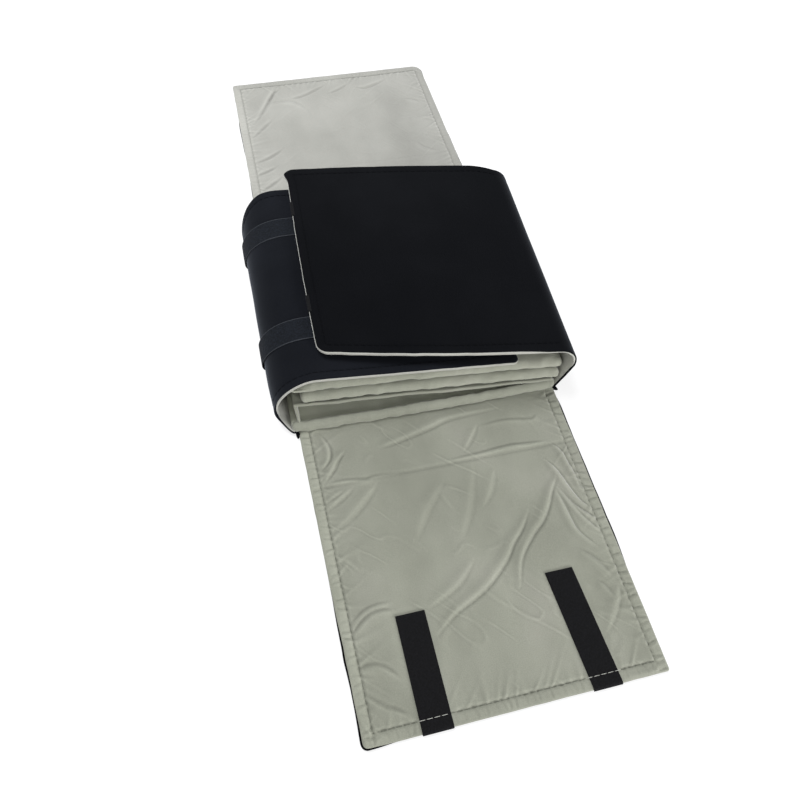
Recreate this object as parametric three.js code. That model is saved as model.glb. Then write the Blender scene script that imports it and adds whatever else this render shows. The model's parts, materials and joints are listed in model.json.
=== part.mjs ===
// A cut-and-sewn velvet jewelry roll. Its two wings are folded over a stack of padded leaves,
// and its two end flaps lie open on the table.
// Millimetres, +Z up. The origin is on the table, midway between the free ends of the two flaps.
// +X is to the right and +Y to the back for someone who faces the front flap.

import * as THREE from 'three';

// Cloth, filling and fastening tape
const VELVET = 0.8; // one ply of velvet
const WADDING = 1.2; // filling of the base and the wings
const FLAP_WADDING = 0.6; // filling of the end flaps
const HEM = 9; // margin round each filling where the plies are sewn together
const CLEAR = 0.3; // air between pieces that only lie against each other
const TAPE_WIDTH = 20.5; // nominal 20 mm tape, over its edges
const TAPE_THICK = 0.8;
const HOOK_LENGTH = 74; // length of the hook tapes, and of the loop tapes on the back flap
const SEW_GAP = 0.1; // thread under a tape that follows a bend

// Base, from the origin to each of its edges
const BASE_LEFT = 108.5;
const BASE_RIGHT = 105;
const BASE_FRONT = 107.2; // on the middle line
const BASE_BACK = 136;
const FRONT_SHEAR = 0.0236; // the front fold runs askew: how far forward for each millimetre to the right

// End flaps: distances of their side edges from the middle line, and their corners
const FLAP_REACH = 328; // origin to the free end of either flap, on the middle line
const FRONT_FLAP = { rootLeft: 106.2, rootRight: 104, endLeft: 103.7, endRight: 102.8 };
const FRONT_CORNERS = { left: 5, right: 2 };
const BACK_FLAP = { rootLeft: 107, rootRight: 107, endLeft: 106.6, endRight: 106.6 };
const BACK_CORNERS = { left: 3, right: 10 };
const SQUARE = { left: 0, right: 0 };
const FLAP_TAPE_OFFSET = 56; // middle of the flap to the middle of each tape
const FLAP_TAPE_SLANT = 5; // how far the right tape is sewn askew, over its length
const LONG_TAPE = 78; // length of the right tape on the front flap
const CLOSING_ROOM = 0.8; // air between the right wing and the back flap when that is closed

// Padded leaves
const LEAF_THICK = 7.6;
const LEAF_COVER = 0.8;
const LEAF_EDGE = 3.6; // depth of the rounded rim, measured inwards from the outline
const LEAF_CORNER = 7;
const LEAF_CROWN = 0.5; // how much fuller the middle is than the rim
const LEAF_PULL = 1.2; // how far each side draws in between its corners
const LEAF_LEAN = 0.5; // shift to the back for each millimetre of height
// Left is measured from the left edge of the base, front from its front edge before the leaf leans back,
// and skew is how much further forward the right end lies than the left one
const BOTTOM_LEAF = { left: -0.5, front: 0.8, skew: 6, length: 212 };
const MIDDLE_LEAF = { left: 6.6, front: -1, skew: 10, length: 205 };
const TOP_LEAF = { left: 3.5, front: 0, skew: 10, length: 203 };
const WEDGE_FOOT = 2; // right edge of the base to where the wedge of the pocket comes to nothing
const BINDING_THICK = 0.8;
const BINDING_FRONT = 8; // front edge of the base to the strip that binds the leaves
const BINDING_LENGTH = 190;

// Pocket between the bottom and the middle leaf
const POCKET_MOUTH = 10.8; // height of the wedge at its left end
const POCKET_SHEET = 1.2;
const POCKET_LENGTH = 200;
const POCKET_MARGIN = 5; // left edge of the base to the edge of the sheet
const POCKET_END = 3; // right edge of the base to the right end of the sheet
const POCKET_RECESS = 1; // front edge of the middle leaf to the sheet, and from there to the side web
const POCKET_WEB_INSET = 1.5; // left edge of the sheet to the side web

// Left wing: a round bend at the left, then a slope down to its free end
const LEFT_BULGE = 9.8; // how far the lining swells past the base
const LEFT_BEND_RUN = 10; // base's left edge to where the bend becomes straight
const LEFT_SPLAY = 55; // degrees from the table at the root
const LEFT_REACH = 72; // origin to the free end
const LEFT_ROUND = 6;
const LEFT_FRONT = { root: 104, bend: 85, end: 99 }; // front edge: at the root, past the bend, at the end
const LEFT_BACK = { root: 86, bend: 114.5, end: 105 }; // and the back edge
const LEFT_TAPES = { front: 47.5, back: 151.5 }; // front edge to the middle of each tape
const LEFT_TAPE_END = 25; // origin to where the loop tapes end under the right wing
const LEFT_TAPE_START = 2; // step of the bend at which they begin

// Right wing: a wall that leans out, a fold and a cover that lies askew
const FOLD_RADIUS = 10.2; // lining side
const FOLD_SLIT = 0.02; // share of the fold left open between wall and cover
const REACH_FRONT = 11; // how far the fold stands out past the base at the front
const REACH_BACK = 20.5; // and at the back
const WALL_FRONT = 109.2; // front edge of the wall, from the origin
const WALL_BACK = 94;
const COVER_FRONT = { foldY: -103, freeX: -82.8, freeY: -64.2 }; // ends of the cover's front edge
const COVER_BACK = { foldY: 96.5, freeX: -75, freeY: 133 }; // ends of its back edge
const FRONT_BOW = 2.4; // how far the cover's front edge bows out,
const BACK_BOW = 2; // its back edge
const FREE_BOW = 1.3; // and its free edge
const SHOULDER = 7; // how far the back edge draws in where it meets the fold
const SHOULDER_RUN = 22; // and over what length
const COVER_ROUND = 8;
const RIGHT_TAPES = { front: 49.2, back: 154.2 }; // front end of the free edge to the middle of each tape

// Smoothness
const BEND_STEPS = 8;
const CORNER_STEPS = 4;
const WALL_STEPS = 4;
const WALL_BAYS = 9; // divisions of the right wing from front to back
const COVER_STEPS = [0.03, 0.07, 0.12, 0.3, 0.5, 0.7, 0.85]; // shares of the way from the fold to the free edge
const CIRCLE_HANDLE = 0.5523; // Bezier handle of a quarter circle

const BLACK_VELVET = { color: 0x15161a, roughness: 0.95, metalness: 0 };
const GREY_VELVET = { color: 0xa6a79c, roughness: 0.9, metalness: 0 };
const WHITE_WADDING = { color: 0xe4e2da, roughness: 1, metalness: 0 };
const GREY_FOAM = { color: 0x8f908a, roughness: 1, metalness: 0 };
const HOOK_TAPE = { color: 0x1b1b1d, roughness: 0.8, metalness: 0 };
const LOOP_TAPE = { color: 0x26272b, roughness: 0.95, metalness: 0 };

// Levels that follow from the sizes above
const PANEL = 2 * VELVET + WADDING;
const FLAP = 2 * VELVET + FLAP_WADDING;
const WEDGE_RIGHT = BASE_RIGHT - WEDGE_FOOT;
const POCKET_LEFT = POCKET_MARGIN - BASE_LEFT;
const WEDGE_SLOPE = POCKET_MOUTH / (WEDGE_RIGHT - POCKET_LEFT);
const BOTTOM_LEAF_Z = PANEL + CLEAR;
const POCKET_FLOOR = BOTTOM_LEAF_Z + LEAF_THICK;
const SHEET_Z = POCKET_FLOOR + CLEAR;
const MIDDLE_LEAF_Z = SHEET_Z + POCKET_SHEET + CLEAR;
const TOP_LEAF_Z = MIDDLE_LEAF_Z + LEAF_THICK + CLEAR;
const LEFT_LINING_Z = TOP_LEAF_Z + LEAF_THICK + CLEAR;
const LEFT_BEND_X = LEFT_BEND_RUN - BASE_LEFT;
const COVER_Z = raised(LEFT_LINING_Z, LEFT_BEND_X) + PANEL + SEW_GAP + 2 * TAPE_THICK + CLEAR;
const BACK_LIFT = TAPE_THICK; // the loop tapes lie between the back flap and the table
const BACK_GUSSET = COVER_Z + PANEL + CLOSING_ROOM - BACK_LIFT - FLAP;
const FRONT_GUSSET = BACK_GUSSET + BACK_LIFT + FLAP + 2 * TAPE_THICK + CLEAR;
const wallRoot = new THREE.Vector2(BASE_RIGHT + CLEAR, PANEL);

const roll = new THREE.Group();

// Height of a sloping level at x, given its height where the wedge comes to nothing
function raised(level, x) {
  return level + WEDGE_SLOPE * (WEDGE_RIGHT - x);
}

function addPiece(name, geometry, finish) {
  const mesh = new THREE.Mesh(geometry, new THREE.MeshStandardMaterial(finish));
  mesh.name = name;
  roll.add(mesh);
}

function meshGeometry(corners, triangles) {
  const geometry = new THREE.BufferGeometry();
  geometry.setAttribute('position', new THREE.Float32BufferAttribute(corners.flatMap((p) => p.toArray()), 3));
  geometry.setIndex(triangles.flat());
  geometry.computeVertexNormals();
  return geometry;
}

// A layer over a grid of lining points. Depth is counted from the lining outwards along each normal,
// and each cell of the grid reaches from the near depth to its own far depth. Cells with none are left out.
function gridLayer(grid, near, farOf) {
  const rows = grid.points.length - 1;
  const columns = grid.points[0].length - 1;
  const corners = [];
  const triangles = [];
  const known = new Map();
  const corner = (i, j, depth) => {
    const key = `${i},${j},${depth}`;
    if (!known.has(key)) {
      known.set(key, corners.length);
      corners.push(grid.points[i][j].clone().addScaledVector(grid.normals[i][j], depth));
    }
    return known.get(key);
  };
  const quad = (a, b, c, d) => triangles.push([a, b, c], [a, c, d]);
  const far = (i, j) => (i < 0 || j < 0 || i >= rows || j >= columns ? null : farOf(i, j));
  for (let i = 0; i < rows; i += 1) {
    for (let j = 0; j < columns; j += 1) {
      const depth = far(i, j);
      if (depth === null) continue;
      const ring = [[i, j], [i + 1, j], [i + 1, j + 1], [i, j + 1]];
      const beside = [far(i, j - 1), far(i + 1, j), far(i, j + 1), far(i - 1, j)];
      const nearFace = ring.map(([a, b]) => corner(a, b, near));
      const farFace = ring.map(([a, b]) => corner(a, b, depth));
      quad(...nearFace);
      triangles.push([farFace[0], farFace[2], farFace[1]], [farFace[0], farFace[3], farFace[2]]);
      ring.forEach(([a, b], side) => {
        const [c, d] = ring[(side + 1) % 4];
        const level = beside[side] === null ? near : beside[side];
        if (level >= depth) return;
        const wall = [corner(a, b, level), corner(a, b, depth), corner(c, d, depth), corner(c, d, level)];
        // Neighbouring layers split a wall along the same diagonal
        if (a > c || b > d) wall.push(wall.shift());
        quad(...wall);
      });
    }
  }
  const flipped = facesOutwards(grid) ? triangles.map(([a, b, c]) => [a, c, b]) : triangles;
  return meshGeometry(corners, flipped);
}

function facesOutwards({ points, normals }) {
  const along = points[1][0].clone().sub(points[0][0]);
  const across = points[0][1].clone().sub(points[0][0]);
  return along.cross(across).dot(normals[0][0]) > 0;
}

// Outer ply, wadding and lining of one panel. The lining is turned up round the wadding along the hem.
function addPanel(name, grid, filling) {
  const rows = grid.points.length - 1;
  const columns = grid.points[0].length - 1;
  const inHem = (i, j) => i < grid.hemRows[0] || i >= rows - grid.hemRows[1] || j < 1 || j >= columns - 1;
  const seam = VELVET + filling;
  addPiece(`${name}_outer`, gridLayer(grid, seam, () => seam + VELVET), BLACK_VELVET);
  addPiece(`${name}_wadding`, gridLayer(grid, VELVET, (i, j) => (inHem(i, j) ? null : seam)), WHITE_WADDING);
  addPiece(`${name}_lining`, gridLayer(grid, 0, (i, j) => (inHem(i, j) ? seam : VELVET)), GREY_VELVET);
}

// How far a round corner draws in the edge, at a distance from the end
function cornerInset(radius, distance) {
  if (distance >= radius) return 0;
  return radius - Math.sqrt(radius ** 2 - (radius - distance) ** 2);
}

// Distances from a free end at which a panel is stepped: round its corner, then at its hem
function endSteps(radius) {
  const steps = [];
  for (let k = 0; k <= CORNER_STEPS; k += 1) {
    steps.push(radius * (1 - Math.cos((k / CORNER_STEPS) * (Math.PI / 2))));
  }
  if (radius < HEM) steps.push(HEM);
  return steps;
}

function shearAt(y) {
  return y < 0 ? FRONT_SHEAR : 0;
}

// A flat panel that runs from one y to another, with its lining upwards. Its left and right x are given for each y.
function flatGrid(edgesAt, yRoot, yEnd, top, corners) {
  const way = Math.sign(yEnd - yRoot);
  const round = Math.max(corners.left, corners.right);
  const ending = round > 0 ? endSteps(round) : [0, HEM];
  const stations = [yRoot, yRoot + way * HEM, ...ending.map((d) => yEnd - way * d).reverse()];
  const points = stations.map((y) => {
    const [xLeft, xRight] = edgesAt(y);
    const left = xLeft + cornerInset(corners.left, Math.abs(yEnd - y));
    const right = xRight - cornerInset(corners.right, Math.abs(yEnd - y));
    const across = [left, xLeft + HEM, xRight - HEM, right];
    return across.map((x) => new THREE.Vector3(x, y - shearAt(y) * x, top));
  });
  const normals = points.map((row) => row.map(() => new THREE.Vector3(0, 0, -1)));
  return { points, normals, hemRows: [1, ending.length - 1] };
}

// Base and end flaps
addPanel('base', flatGrid(() => [-BASE_LEFT, BASE_RIGHT], -BASE_FRONT, BASE_BACK, PANEL, SQUARE), WADDING);

function addFlap(name, way, root, gusset, lift, sides, corners) {
  const crease = root + gusset;
  const edgesAt = (y) => {
    const share = (Math.abs(y) - root) / (FLAP_REACH - root);
    const left = THREE.MathUtils.lerp(sides.rootLeft, sides.endLeft, share);
    return [-left, THREE.MathUtils.lerp(sides.rootRight, sides.endRight, share)];
  };
  const strip = flatGrid(edgesAt, way * (root + CLEAR), way * crease, FLAP + lift, SQUARE);
  addPanel(`${name}_gusset`, strip, FLAP_WADDING);
  const flap = flatGrid(edgesAt, way * (crease + CLEAR), way * FLAP_REACH, FLAP + lift, corners);
  addPanel(`${name}_flap`, flap, FLAP_WADDING);
}
addFlap('front', -1, BASE_FRONT, FRONT_GUSSET, 0, FRONT_FLAP, FRONT_CORNERS);
addFlap('back', 1, BASE_BACK, BACK_GUSSET, BACK_LIFT, BACK_FLAP, BACK_CORNERS);

// A flat tape that runs in from the free end of a flap
function flapTape(xEnd, xInner, length, way, bottom) {
  const spot = (x, reach) => new THREE.Vector2(x, way * reach - shearAt(way) * x);
  const halfTape = TAPE_WIDTH / 2;
  const outline = new THREE.Shape([
    spot(xEnd - halfTape, FLAP_REACH),
    spot(xEnd + halfTape, FLAP_REACH),
    spot(xInner + halfTape, FLAP_REACH - length),
    spot(xInner - halfTape, FLAP_REACH - length),
  ]);
  return new THREE.ExtrudeGeometry(outline, { depth: TAPE_THICK, bevelEnabled: false }).translate(0, 0, bottom);
}
const slant = FLAP_TAPE_SLANT / 2;
const offset = FLAP_TAPE_OFFSET;
const underFlap = BACK_LIFT - TAPE_THICK;
addPiece('front_hook_tape_left', flapTape(-offset, -offset, HOOK_LENGTH, -1, FLAP), HOOK_TAPE);
addPiece('front_hook_tape_right', flapTape(offset + slant, offset - slant, LONG_TAPE, -1, FLAP), HOOK_TAPE);
addPiece('back_loop_tape_left', flapTape(-offset, -offset, HOOK_LENGTH, 1, underFlap), LOOP_TAPE);
addPiece('back_loop_tape_right', flapTape(offset, offset, HOOK_LENGTH, 1, underFlap), LOOP_TAPE);

// Outline of a padded leaf, drawn in between its corners, on the level that lies a depth inside the rim
function leafOutline(halfX, halfY, depth) {
  const radius = LEAF_CORNER;
  const outline = [];
  const reach = [halfX - radius, halfY - radius];
  for (let quarter = 0; quarter < 4; quarter += 1) {
    const signs = [[1, 1], [-1, 1], [-1, -1], [1, -1]][quarter];
    for (let k = 0; k <= CORNER_STEPS; k += 1) {
      const angle = (quarter + k / CORNER_STEPS) * (Math.PI / 2);
      const x = signs[0] * reach[0] + (radius - depth) * Math.cos(angle);
      const y = signs[1] * reach[1] + (radius - depth) * Math.sin(angle);
      outline.push(new THREE.Vector2(x, y));
    }
    const inner = quarter % 2 === 0 ? [0, halfY - depth - LEAF_PULL] : [halfX - depth - LEAF_PULL, 0];
    outline.push(new THREE.Vector2(signs[0] * inner[0], signs[1] * inner[1]));
  }
  return outline;
}

// Rings of points over one face of a pad, from its outline to its middle. Side is 1 above and -1 below.
function padFace(halfX, halfY, halfThick, rim, side) {
  const rings = [];
  const shares = [0, 0.1, 0.4, 1];
  for (const share of shares) {
    const depth = rim * share;
    const height = (halfThick - LEAF_CROWN) * Math.sqrt(1 - (1 - share) ** 2);
    rings.push(leafOutline(halfX, halfY, depth).map((p) => new THREE.Vector3(p.x, p.y, side * height)));
  }
  const middle = rings.at(-1).map((p) => new THREE.Vector3(p.x / 2, p.y / 2, side * halfThick));
  return [...rings, middle];
}

// Triangles over the rings of a pad's face, closed in the middle
function faceTriangles(rings, first, upwards) {
  const count = rings[0].length;
  const triangles = [];
  const push = (a, b, c) => triangles.push(upwards ? [a, b, c] : [a, c, b]);
  for (let ring = 0; ring < rings.length - 1; ring += 1) {
    for (let k = 0; k < count; k += 1) {
      const next = (k + 1) % count;
      const outer = first + ring * count;
      const inner = outer + count;
      push(outer + k, outer + next, inner + next);
      push(outer + k, inner + next, inner + k);
    }
  }
  const last = first + (rings.length - 1) * count;
  for (let k = 1; k < count - 1; k += 1) push(last, last + k, last + k + 1);
  return triangles;
}

// The strip that binds the leaves lies against the front of the right wall, which leans out
function bindingRight(z) {
  const top = foldPoint(0, 0).point;
  return THREE.MathUtils.mapLinear(z, wallRoot.y, top.z, wallRoot.x, top.x) - CLEAR;
}

// How far a leaf's front edge lies from the origin, at a place on it
function leafFront(leaf, x, z) {
  return leaf.front - BASE_FRONT + LEAF_LEAN * (z - BOTTOM_LEAF_Z) - (leaf.skew * x) / (BASE_LEFT + BASE_RIGHT);
}

// A pad of foam between an upper and a lower cover that meet in a seam at mid height
function addLeaf(name, leaf, level, slope) {
  const halfThick = LEAF_THICK / 2;
  const left = leaf.left - BASE_LEFT;
  const right = bindingRight(level + halfThick) - BINDING_THICK - CLEAR;
  const halfX = (right - left) / 2;
  const place = (p) => {
    const x = p.x + (left + right) / 2;
    const z = p.z + level + halfThick + slope * (WEDGE_RIGHT - x);
    return new THREE.Vector3(x, p.y + leaf.length / 2 + leafFront(leaf, x, z), z);
  };
  const outer = (side) => padFace(halfX, leaf.length / 2, halfThick, LEAF_EDGE, side);
  const inner = (side) => {
    const cover = LEAF_COVER;
    return padFace(halfX - cover, leaf.length / 2 - cover, halfThick - cover, LEAF_EDGE - cover, side);
  };
  for (const [label, side] of [['upper', 1], ['lower', -1]]) {
    const outside = outer(side);
    const inside = inner(side);
    const count = outside[0].length;
    const start = outside.flat().length;
    const triangles = [...faceTriangles(outside, 0, side > 0), ...faceTriangles(inside, start, side < 0)];
    for (let k = 0; k < count; k += 1) {
      const next = (k + 1) % count;
      const seam = [[k, start + next, next], [k, start + k, start + next]];
      triangles.push(...(side > 0 ? seam : seam.map(([a, b, c]) => [a, c, b])));
    }
    const corners = [...outside.flat(), ...inside.flat()].map(place);
    addPiece(`${name}_${label}_cover`, meshGeometry(corners, triangles), GREY_VELVET);
  }
  const above = inner(1);
  const below = inner(-1);
  const rim = above[0].length;
  const shift = above.flat().length - rim;
  const join = (index) => (index < rim ? index : index + shift);
  const lower = faceTriangles(below, 0, false).map((triangle) => triangle.map(join));
  const corners = [...above.flat(), ...below.slice(1).flat()].map(place);
  addPiece(`${name}_foam`, meshGeometry(corners, [...faceTriangles(above, 0, true), ...lower]), GREY_FOAM);
}
addLeaf('bottom_leaf', BOTTOM_LEAF, BOTTOM_LEAF_Z, 0);
addLeaf('middle_leaf', MIDDLE_LEAF, MIDDLE_LEAF_Z, WEDGE_SLOPE);
addLeaf('top_leaf', TOP_LEAF, TOP_LEAF_Z, WEDGE_SLOPE);

// A strip with the given outline in x and z, from one y to another
function stripAlongY(outline, yFront, yBack) {
  const shape = new THREE.Shape(outline.map(([x, z]) => new THREE.Vector2(x, z)));
  const strip = new THREE.ExtrudeGeometry(shape, { depth: yBack - yFront, bevelEnabled: false });
  return strip.rotateX(Math.PI / 2).translate(0, yBack, 0);
}

// A sheet between two x, whose front edge follows the middle leaf
function pocketSheet(xLeft, xRight) {
  const corners = [];
  for (const x of [xLeft, xRight]) {
    const level = raised(SHEET_Z, x);
    const front = leafFront(MIDDLE_LEAF, x, level) + POCKET_RECESS;
    for (const y of [front, front + POCKET_LENGTH]) {
      for (const z of [level, level + POCKET_SHEET]) corners.push(new THREE.Vector3(x, y, z));
    }
  }
  const quads = [[0, 1, 3, 2], [4, 6, 7, 5], [0, 4, 5, 1], [2, 3, 7, 6], [0, 2, 6, 4], [1, 5, 7, 3]];
  return meshGeometry(corners, quads.flatMap(([a, b, c, d]) => [[a, b, c], [a, c, d]]));
}

// Pocket sheet and side web, and the strip that binds the leaves at the right
addPiece('pocket_sheet', pocketSheet(POCKET_LEFT, BASE_RIGHT - POCKET_END), GREY_VELVET);
const webLeft = POCKET_LEFT + POCKET_WEB_INSET;
const webRight = webLeft + POCKET_SHEET;
const webFront = leafFront(MIDDLE_LEAF, webLeft, raised(SHEET_Z, webLeft)) + 2 * POCKET_RECESS;
const web = [
  [webLeft, POCKET_FLOOR],
  [webRight, POCKET_FLOOR],
  [webRight, raised(SHEET_Z, webRight) - CLEAR],
  [webLeft, raised(SHEET_Z, webLeft) - CLEAR],
];
addPiece('pocket_side_web', stripAlongY(web, webFront, webFront + POCKET_LENGTH), GREY_VELVET);
const bindingTop = TOP_LEAF_Z + LEAF_THICK / 2;
const binding = [
  [bindingRight(PANEL) - BINDING_THICK, PANEL],
  [bindingRight(PANEL), PANEL],
  [bindingRight(bindingTop), bindingTop],
  [bindingRight(bindingTop) - BINDING_THICK, bindingTop],
];
const bindingFront = BINDING_FRONT - BASE_FRONT;
addPiece('leaf_binding', stripAlongY(binding, bindingFront, bindingFront + BINDING_LENGTH), GREY_VELVET);

// Left wing: its lining's section, from the root at the base round the bend to the free end
function leftSection() {
  const root = new THREE.Vector2(-BASE_LEFT - CLEAR, PANEL);
  const end = new THREE.Vector2(LEFT_BEND_X, raised(LEFT_LINING_Z, LEFT_BEND_X));
  const side = new THREE.Vector2(root.x - LEFT_BULGE, (root.y + end.y) / 2);
  const splay = THREE.MathUtils.degToRad(LEFT_SPLAY);
  const rise = (side.y - root.y) * CIRCLE_HANDLE;
  const lean = new THREE.Vector2(-Math.cos(splay), Math.sin(splay)).multiplyScalar(LEFT_BULGE * CIRCLE_HANDLE);
  const fall = new THREE.Vector2(-1, WEDGE_SLOPE).multiplyScalar((end.x - side.x) * CIRCLE_HANDLE);
  const lower = new THREE.CubicBezierCurve(
    root, root.clone().add(lean), new THREE.Vector2(side.x, side.y - rise), side);
  const upper = new THREE.CubicBezierCurve(
    side, new THREE.Vector2(side.x, side.y + rise), end.clone().add(fall), end);
  return [...lower.getPoints(BEND_STEPS), ...upper.getPoints(BEND_STEPS).slice(1)];
}

// Outward normals along a section that is given as points in x and z
function sectionNormals(section) {
  return section.map((p, k) => {
    const before = section[Math.max(k - 1, 0)];
    const after = section[Math.min(k + 1, section.length - 1)];
    const along = after.clone().sub(before).normalize();
    return new THREE.Vector3(-along.y, 0, along.x);
  });
}

// The wing's grid, with the y of each of its columns given from its front edge, its back edge and the corner there
function leftGrid(acrossOf) {
  const bend = leftSection();
  const ending = endSteps(LEFT_ROUND).map((d) => LEFT_REACH - d).reverse();
  const straight = [-LEFT_TAPE_END, ...ending];
  const level = (x) => new THREE.Vector2(x, raised(LEFT_LINING_Z, x));
  const section = [...bend, ...straight.map(level)];
  const edgeAt = (edge, k) => {
    if (k < bend.length) return THREE.MathUtils.lerp(edge.root, edge.bend, k / (bend.length - 1));
    return THREE.MathUtils.mapLinear(section[k].x, LEFT_BEND_X, LEFT_REACH, edge.bend, edge.end);
  };
  const flatNormals = sectionNormals(section);
  const points = section.map((p, k) => {
    const inset = cornerInset(LEFT_ROUND, LEFT_REACH - p.x);
    const across = acrossOf(-edgeAt(LEFT_FRONT, k), edgeAt(LEFT_BACK, k), inset);
    return across.map((y) => new THREE.Vector3(p.x, y, p.y));
  });
  const normals = points.map((row, k) => row.map(() => flatNormals[k]));
  return { points, normals, hemRows: [2, ending.length - 1], tapeEnd: bend.length };
}
const leftColumns = (front, back, inset) => [front + inset, front + HEM, back - HEM, back - inset];
addPanel('left_wing', leftGrid(leftColumns), WADDING);

function addLeftTape(name, middle) {
  const whole = leftGrid((front) => [front + middle - TAPE_WIDTH / 2, front + middle + TAPE_WIDTH / 2]);
  const points = whole.points.slice(LEFT_TAPE_START, whole.tapeEnd + 1);
  const normals = whole.normals.slice(LEFT_TAPE_START, whole.tapeEnd + 1);
  const near = PANEL + SEW_GAP;
  addPiece(name, gridLayer({ points, normals }, near, () => near + TAPE_THICK), LOOP_TAPE);
}
addLeftTape('left_loop_tape_front', LEFT_TAPES.front);
addLeftTape('left_loop_tape_back', LEFT_TAPES.back);

// Right wing. Share runs from the front edge to the back edge.
function foldCentre(share) {
  const reach = THREE.MathUtils.lerp(REACH_FRONT, REACH_BACK, share);
  return new THREE.Vector2(BASE_RIGHT + reach - PANEL - FOLD_RADIUS, COVER_Z - FOLD_RADIUS);
}

// Angle on the fold at which the wall runs into it without a kink
function foldStart(share) {
  const arm = wallRoot.clone().sub(foldCentre(share));
  return arm.angle() + Math.acos(FOLD_RADIUS / arm.length()) - 2 * Math.PI;
}

function edgeY(share, front, back) {
  return THREE.MathUtils.lerp(front, back, share);
}

function foldPoint(share, turned) {
  const start = foldStart(share);
  const angle = THREE.MathUtils.lerp(start, Math.PI / 2, turned);
  const centre = foldCentre(share);
  const wallY = edgeY(share, -WALL_FRONT, WALL_BACK);
  const y = THREE.MathUtils.lerp(wallY, edgeY(share, COVER_FRONT.foldY, COVER_BACK.foldY), turned);
  const normal = new THREE.Vector3(Math.cos(angle), 0, Math.sin(angle));
  const point = new THREE.Vector3(centre.x, y, centre.y).addScaledVector(normal, FOLD_RADIUS);
  return { point, normal };
}

function wallPoint(share, climbed) {
  const { point, normal } = foldPoint(share, 0);
  const y = edgeY(share, -WALL_FRONT, WALL_BACK);
  const root = new THREE.Vector3(wallRoot.x, y, wallRoot.y);
  return { point: root.lerp(point, climbed), normal };
}

// How far a bowed edge stands out, as a share of its bow
function hump(share) {
  return 4 * share * (1 - share);
}

// Middle line of the cover's flat stretch before it is bowed, from the fold to the free edge
function coverLine(share) {
  const fold = foldPoint(share, 1).point;
  const freeX = THREE.MathUtils.lerp(COVER_FRONT.freeX, COVER_BACK.freeX, share) - FREE_BOW * hump(share);
  const freeY = edgeY(share, COVER_FRONT.freeY, COVER_BACK.freeY - SHOULDER);
  return { fold, free: new THREE.Vector3(freeX, freeY, COVER_Z) };
}

// A place on the flat stretch, at a share of the way from the fold to the free edge
function coverPoint(share, passed) {
  const { fold, free } = coverLine(share);
  const run = passed * free.distanceTo(fold);
  const drawnIn = Math.max(0, 1 - run / SHOULDER_RUN) ** 2;
  const bow = THREE.MathUtils.lerp(-FRONT_BOW, BACK_BOW, share);
  const point = fold.lerp(free, passed);
  point.y += bow * hump(passed) + SHOULDER * share * (1 - drawnIn);
  return { point, normal: new THREE.Vector3(0, 0, 1) };
}

function coverPointFromEdge(share, distance) {
  const { fold, free } = coverLine(share);
  return coverPoint(share, 1 - distance / free.distanceTo(fold));
}

const coverWidth = COVER_BACK.freeY - COVER_FRONT.freeY;

function acrossShares(inset) {
  const hem = HEM / coverWidth;
  const bays = Array.from({ length: WALL_BAYS + 1 }, (_, k) => hem + (1 - 2 * hem) * (k / WALL_BAYS));
  return [inset / coverWidth, ...bays, 1 - inset / coverWidth];
}

function gridOf(rows, hemRows) {
  const points = rows.map((row) => row.map((spot) => spot.point));
  const normals = rows.map((row) => row.map((spot) => spot.normal));
  return { points, normals, hemRows };
}

const steps = (count) => Array.from({ length: count + 1 }, (_, k) => k / count);
const halfFold = 0.5 - FOLD_SLIT / 2;
const wallRows = steps(WALL_STEPS).map((climbed) => acrossShares(0).map((v) => wallPoint(v, climbed)));
const lowerFold = steps(WALL_STEPS).slice(1).map((f) => acrossShares(0).map((v) => foldPoint(v, f * halfFold)));
addPanel('right_wall', gridOf([...wallRows, ...lowerFold], [1, 1]), WADDING);

const upperFold = steps(WALL_STEPS).map((f) => acrossShares(0).map((v) => foldPoint(v, 1 - halfFold * (1 - f))));
const middleRows = COVER_STEPS.map((passed) => acrossShares(0).map((v) => coverPoint(v, passed)));
const endRows = endSteps(COVER_ROUND).reverse().map((distance) => {
  const inset = cornerInset(COVER_ROUND, distance);
  return acrossShares(inset).map((v) => coverPointFromEdge(v, distance));
});
addPanel('right_cover', gridOf([...upperFold, ...middleRows, ...endRows], [1, endRows.length - 1]), WADDING);

function addRightTape(name, middle) {
  const shares = [middle - TAPE_WIDTH / 2, middle + TAPE_WIDTH / 2].map((across) => across / coverWidth);
  const rows = [HOOK_LENGTH, 0].map((distance) => shares.map((v) => coverPointFromEdge(v, distance)));
  addPiece(name, gridLayer(gridOf(rows, [0, 0]), -TAPE_THICK, () => 0), HOOK_TAPE);
}
addRightTape('right_hook_tape_front', RIGHT_TAPES.front);
addRightTape('right_hook_tape_back', RIGHT_TAPES.back);

export default roll;
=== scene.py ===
import json
import math

import bpy
import numpy as np
from mathutils import Matrix, Vector


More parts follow.
